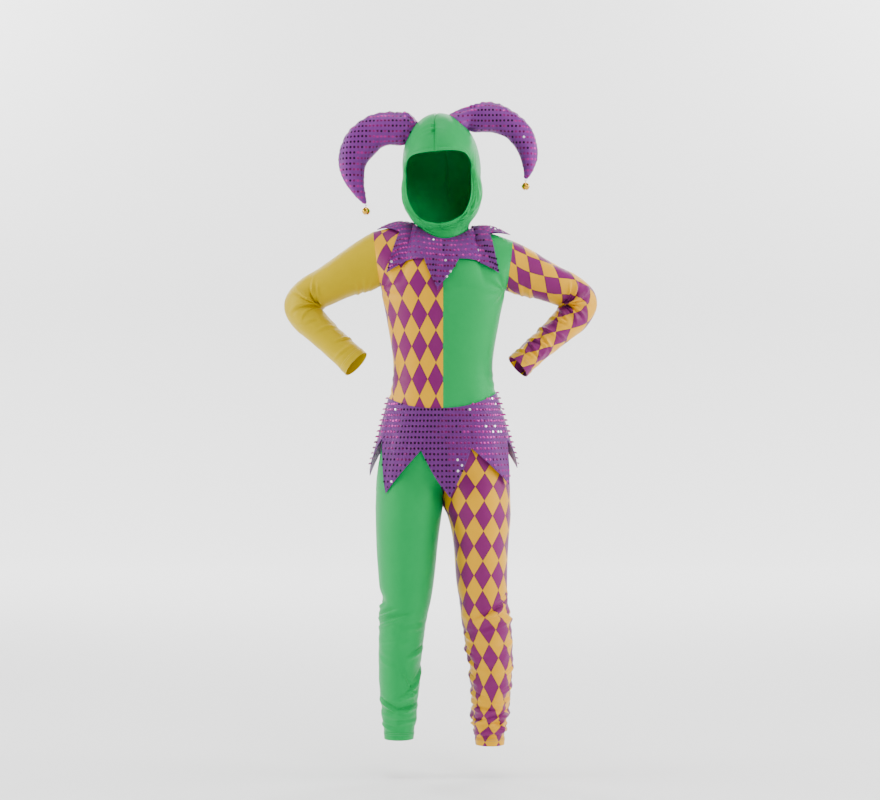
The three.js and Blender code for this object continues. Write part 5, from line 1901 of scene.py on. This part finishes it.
class JESTER_OT_hood(bpy.types.Operator):
    """Make the hood's two halves"""

    bl_idname = "jester.hood"
    bl_label = "Hood"

    def execute(self, context):
        for name, sheet in zip(("right", "left"), hood_sheets()):
            knitted(f"hood_{name}", sheet, "green")
            shop.stitch("green", sheet, HOOD_STITCHES)
        return {"FINISHED"}


class JESTER_OT_horns(bpy.types.Operator):
    """Make the two stuffed horns with their discs"""

    bl_idname = "jester.horns"
    bl_label = "Horns"

    def execute(self, context):
        across, down = disc_steps(context.scene)
        for side in (RIGHT, LEFT):
            name = NAMES[side]
            rows, middles, tangent = horn_rings(side)
            sheet = Sheet(rows, ring=True)
            cells = self.flat_cells(rows, middles, across, down)
            piece = self.stuffed(f"horn_{name}_stuffed", sheet, cells, tangent)
            finished(piece, [f"horn_{name}"])
            discs(f"horn_{name}_discs", lattice(sheet, cells), HORN_MIX)
            shop.stitch("violet", sheet, 1)
        return {"FINISHED"}

    def flat_cells(self, rows, middles, across, down):
        """Each half lies flat in the front view, as it was cut, about the horn's middle line."""
        half = HORN_COLUMNS // 2
        layer = []
        for ring, (middle, across_way) in zip(rows, middles):
            run = lengths(ring + ring[:1])
            line = []
            for j, at in enumerate(run):
                off = run[half // 2] - at if j <= half else at - run[half + half // 2]
                p = middle + across_way * off
                line.append((p.x / across, p.z / down))
            layer.append(line)
        return layer

    def stuffed(self, name, sheet, cells, tangent):
        """A closed horn: rings of faces, and a fan of them at the base and at the tip."""
        high, wide = len(sheet.rows), len(sheet.rows[0])
        points = [p for row in sheet.rows for p in row]
        base = sum(sheet.rows[0], Vector()) / wide
        tip = sum(sheet.rows[-1], Vector()) / wide + tangent * 2
        points += [base, tip]

        def corner(i, j):
            return i * wide + j % wide, (i, j)

        faces, last = [], high - 1
        for i in range(last):
            for j in range(wide):
                faces.append([corner(i, j), corner(i, j + 1), corner(i + 1, j + 1), corner(i + 1, j)])
        for j in range(wide):
            faces.append([(high * wide, (0, j)), corner(0, j + 1), corner(0, j)])
            faces.append([corner(last, j), corner(last, j + 1), (high * wide + 1, (last, j))])
        layers = {"cloth": metres(sheet), "discs": cells}
        return cloth_object(name, points, faced(sheet, faces, HORN_MIDDLE), layers, shop.cloths.horns)


class JESTER_OT_bells(bpy.types.Operator):
    """Make the two round bells and finish the loops that hold them"""

    bl_idname = "jester.bells"
    bl_label = "Bells"

    def execute(self, context):
        for side in (RIGHT, LEFT):
            name = NAMES[side]
            low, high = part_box(f"bell_{name}")
            middle = (Vector(low) + Vector(high)) / 2 / MM
            centre = Vector((middle.x, middle.y, low[2] / MM + BELL_RADIUS))
            piece = self.bell(f"bell_{name}_brass", centre)
            finished(piece, [f"bell_{name}"], f"bell_{name}")
            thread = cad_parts[f"bell_thread_{name}"]
            thread.data.materials.clear()
            thread.data.materials.append(shop.cloths.threads["violet"])
        return {"FINISHED"}

    def bell(self, name, centre):
        """A turned ball with a rim, two crossed slots, and a ring through which it hangs."""
        profile = [(0, -BELL_RADIUS)]
        for k in steps(22)[1:-1]:
            angle = (k - 0.5) * PI
            if abs(angle) > 0.12:
                profile.append((BELL_RADIUS * cos(angle), BELL_RADIUS * sin(angle)))
            if abs(k - 0.5) < 0.01:
                for reach, up in ((0, -1), (0.8, -0.9), (1, 0), (0.8, 0.9), (0, 1)):
                    profile.append((BELL_RADIUS + RIM_OUT * reach, RIM_HALF * up))
        profile.append((0, BELL_RADIUS))
        ball = self.turned(name + "_ball", profile, 32)
        size = (SLOT_WIDE, BELL_RADIUS * 1.6, SLOT_TALL)
        cutters = [self.block(*size, -BELL_RADIUS + 1, turn) for turn in (0, PI / 2)]
        cutters.append(self.turned("bore", BELL_HOLLOW, 20))
        for cutter in cutters:
            cut = ball.modifiers.new("slot", "BOOLEAN")
            cut.operation, cut.object, cut.solver = "DIFFERENCE", cutter, "EXACT"
        graph = bpy.context.evaluated_depsgraph_get()
        mesh = bpy.data.meshes.new_from_object(ball.evaluated_get(graph))
        for cutter in (*cutters, ball):
            bpy.data.objects.remove(cutter)
        points = [v.co.copy() for v in mesh.vertices]
        faces = [list(p.vertices) for p in mesh.polygons]
        ring, sides, around = len(points), 8, 20
        top = BELL_DROP - LOOP_RADIUS + LOOP_WIRE + THREAD_WIRE
        for i in range(around):
            a = i / around * 2 * PI
            for j in range(sides):
                b = j / sides * 2 * PI
                reach = LOOP_RADIUS + LOOP_WIRE * cos(b)
                spot = Vector((LOOP_WIRE * sin(b), reach * cos(a), top + reach * sin(a)))
                points.append(spot * MM)
                n, m = (i + 1) % around, (j + 1) % sides
                quad = ((i, j), (i, m), (n, m), (n, j))
                faces.append([ring + row * sides + column for row, column in quad])
        made = bpy.data.meshes.new(name)
        made.from_pydata([p + centre * MM for p in points], [], faces)
        smooth_mesh(made, 40, shop.cloths.brass)
        return placed(name, made)

    def turned(self, name, profile, around):
        points, faces = [], []
        inner = profile[1:-1]
        for reach, up in inner:
            for i in range(around):
                a = i / around * 2 * PI
                points.append(Vector((reach * cos(a), reach * sin(a), up)))
        points += [Vector((0, 0, profile[0][1])), Vector((0, 0, profile[-1][1]))]
        low, high = len(points) - 2, len(points) - 1
        for i in range(around):
            n = (i + 1) % around
            faces.append([low, n, i])
            for k in range(len(inner) - 1):
                a, b = k * around, (k + 1) * around
                faces.append([a + i, a + n, b + n, b + i])
            last = (len(inner) - 1) * around
            faces.append([high, last + i, last + n])
        return placed(name, raw_mesh(name, points, faces))

    def block(self, wide, deep, tall, z, turn):
        corners = [(x, y, k) for x in (-1, 1) for y in (-1, 1) for k in (-1, 1)]
        spin = Matrix.Rotation(turn, 3, "Z")
        points = [spin @ Vector((x * wide / 2, y * deep / 2, z + k * tall / 2)) for x, y, k in corners]
        faces = [(0, 1, 3, 2), (4, 6, 7, 5), (0, 4, 5, 1), (2, 3, 7, 6), (0, 2, 6, 4), (1, 5, 7, 3)]
        return placed("slot", raw_mesh("slot", points, faces))


class JESTER_OT_stitching(bpy.types.Operator):
    """Sew the rows of stitches at hems and edges"""

    bl_idname = "jester.stitching"
    bl_label = "Stitching"

    def execute(self, context):
        for thread, lines in shop.lines.items():
            material = shop.cloths.threads[thread]
            points, edges = [], []
            for line in lines:
                start = len(points)
                points += line
                edges += [(start + k, start + k + 1) for k in range(len(line) - 1)]
            mesh = raw_mesh(thread + "_lines", points, [], edges)
            values = {"Pitch": 0.0032, "Length": 0.0024, "Thread": 0.00032, "Material": material}
            piece = grown(f"stitches_{thread}", mesh, shop.trees["stitches"], values, material)
            finished(piece, ())
        return {"FINISHED"}


class JESTER_OT_studio(bpy.types.Operator):
    """Set up the camera, the floor and the lights"""

    bl_idname = "jester.studio"
    bl_label = "Studio"

    def execute(self, context):
        settings = context.scene.jester_studio
        scene = context.scene
        lens = bpy.data.cameras.new("camera")
        lens.sensor_width = SENSOR
        lens.lens = settings.distance * SENSOR / settings.view_width
        camera = placed("camera", lens)
        camera.location = (VIEW_MIDDLE[0], -settings.distance, VIEW_MIDDLE[1])
        camera.rotation_euler = (PI / 2, 0, 0)
        scene.camera = camera
        self.backdrop(settings.floor)
        front = Vector((0, 0, -0.4))
        self.light("key", (1.2, -2.6, 1.3), front, 1.4, settings.key)
        self.light("top", (0.1, -0.8, 2.3), front, 1.1, settings.top)
        for x in (-2.4, 2.4):
            self.light("edge", (x, -0.25, 0.3), front, 1.2, settings.edge)
            self.light("wall", (x * 1.3, 4.4, 2.6), Vector((0, 6.6, -0.2)), 2.5, settings.wall)
        self.light("back", (0.5, 3.0, 2.0), front, 1.5, settings.back)
        noon = bpy.data.lights.new("noon", "SUN")
        noon.energy, noon.angle = settings.noon, math.radians(40)
        placed("noon", noon)
        world = bpy.data.worlds.new("studio")
        world.use_nodes = True
        sky = world.node_tree.nodes["Background"]
        sky.inputs["Color"].default_value = (1, 1, 1, 1)
        g = Graph(world.node_tree)
        seen = g.node("ShaderNodeLightPath").outputs["Is Camera Ray"]
        g.put(g.math("MULTIPLY_ADD", seen, settings.horizon, settings.sky), sky.inputs["Strength"])
        scene.world = world
        return {"FINISHED"}

    def light(self, name, place, target, size, power):
        lamp = bpy.data.lights.new(name, "AREA")
        lamp.size, lamp.energy = size, power
        made = placed(name, lamp)
        made.location = place
        made.rotation_euler = (target - Vector(place)).to_track_quat("-Z", "Y").to_euler()

    def backdrop(self, floor):
        """A pale floor that curves up into a wall."""
        line = [(-FLOOR_REACH, floor), (WALL_Y - CURVE, floor)]
        for k in steps(16)[1:]:
            a = k * PI / 2
            line.append((WALL_Y - CURVE + CURVE * sin(a), floor + CURVE * (1 - cos(a))))
        line.append((WALL_Y, floor + WALL_TALL))
        points = [(x, y, z) for y, z in line for x in (-FLOOR_REACH, FLOOR_REACH)]
        faces = [(2 * k, 2 * k + 1, 2 * k + 3, 2 * k + 2) for k in range(len(line) - 1)]
        mesh = bpy.data.meshes.new("floor")
        mesh.from_pydata(points, [], faces)
        mesh.polygons.foreach_set("use_smooth", [True] * len(mesh.polygons))
        mesh.materials.append(plain_material("floor_paper", (0.93, 0.93, 0.93, 1), 0.9))
        placed("floor", mesh)


class JESTER_PT_costume(bpy.types.Panel):
    """Lists the pieces of the costume"""

    bl_idname = "JESTER_PT_costume"
    bl_label = "Jester costume"
    bl_space_type = "VIEW_3D"
    bl_region_type = "UI"
    bl_category = "Jester"

    def draw(self, context):
        for operator in OPERATORS:
            self.layout.operator(operator.bl_idname)
        for group in GROUPS:
            box = self.layout.box()
            settings = getattr(context.scene, group)
            for name in settings.__annotations__:
                box.prop(settings, name)


OPERATORS = (
    JESTER_OT_body,
    JESTER_OT_sleeves,
    JESTER_OT_legs,
    JESTER_OT_collar,
    JESTER_OT_peplum,
    JESTER_OT_hood,
    JESTER_OT_horns,
    JESTER_OT_bells,
    JESTER_OT_stitching,
    JESTER_OT_studio,
)
GROUPS = {
    "jester_knit": JesterKnit,
    "jester_print": JesterPrint,
    "jester_sequins": JesterSequins,
    "jester_studio": JesterStudio,
}


def register():
    for group in (*GROUPS.values(), *OPERATORS, JESTER_PT_costume):
        bpy.utils.register_class(group)
    for name, group in GROUPS.items():
        setattr(bpy.types.Scene, name, bpy.props.PointerProperty(type=group))


def unregister():
    for name in GROUPS:
        delattr(bpy.types.Scene, name)
    for group in (JESTER_PT_costume, *reversed(OPERATORS), *reversed(GROUPS.values())):
        bpy.utils.unregister_class(group)


def main():
    register()
    for operator in OPERATORS:
        area, name = operator.bl_idname.split(".")
        getattr(getattr(bpy.ops, area), name)()


if __name__ == "__main__":
    main()
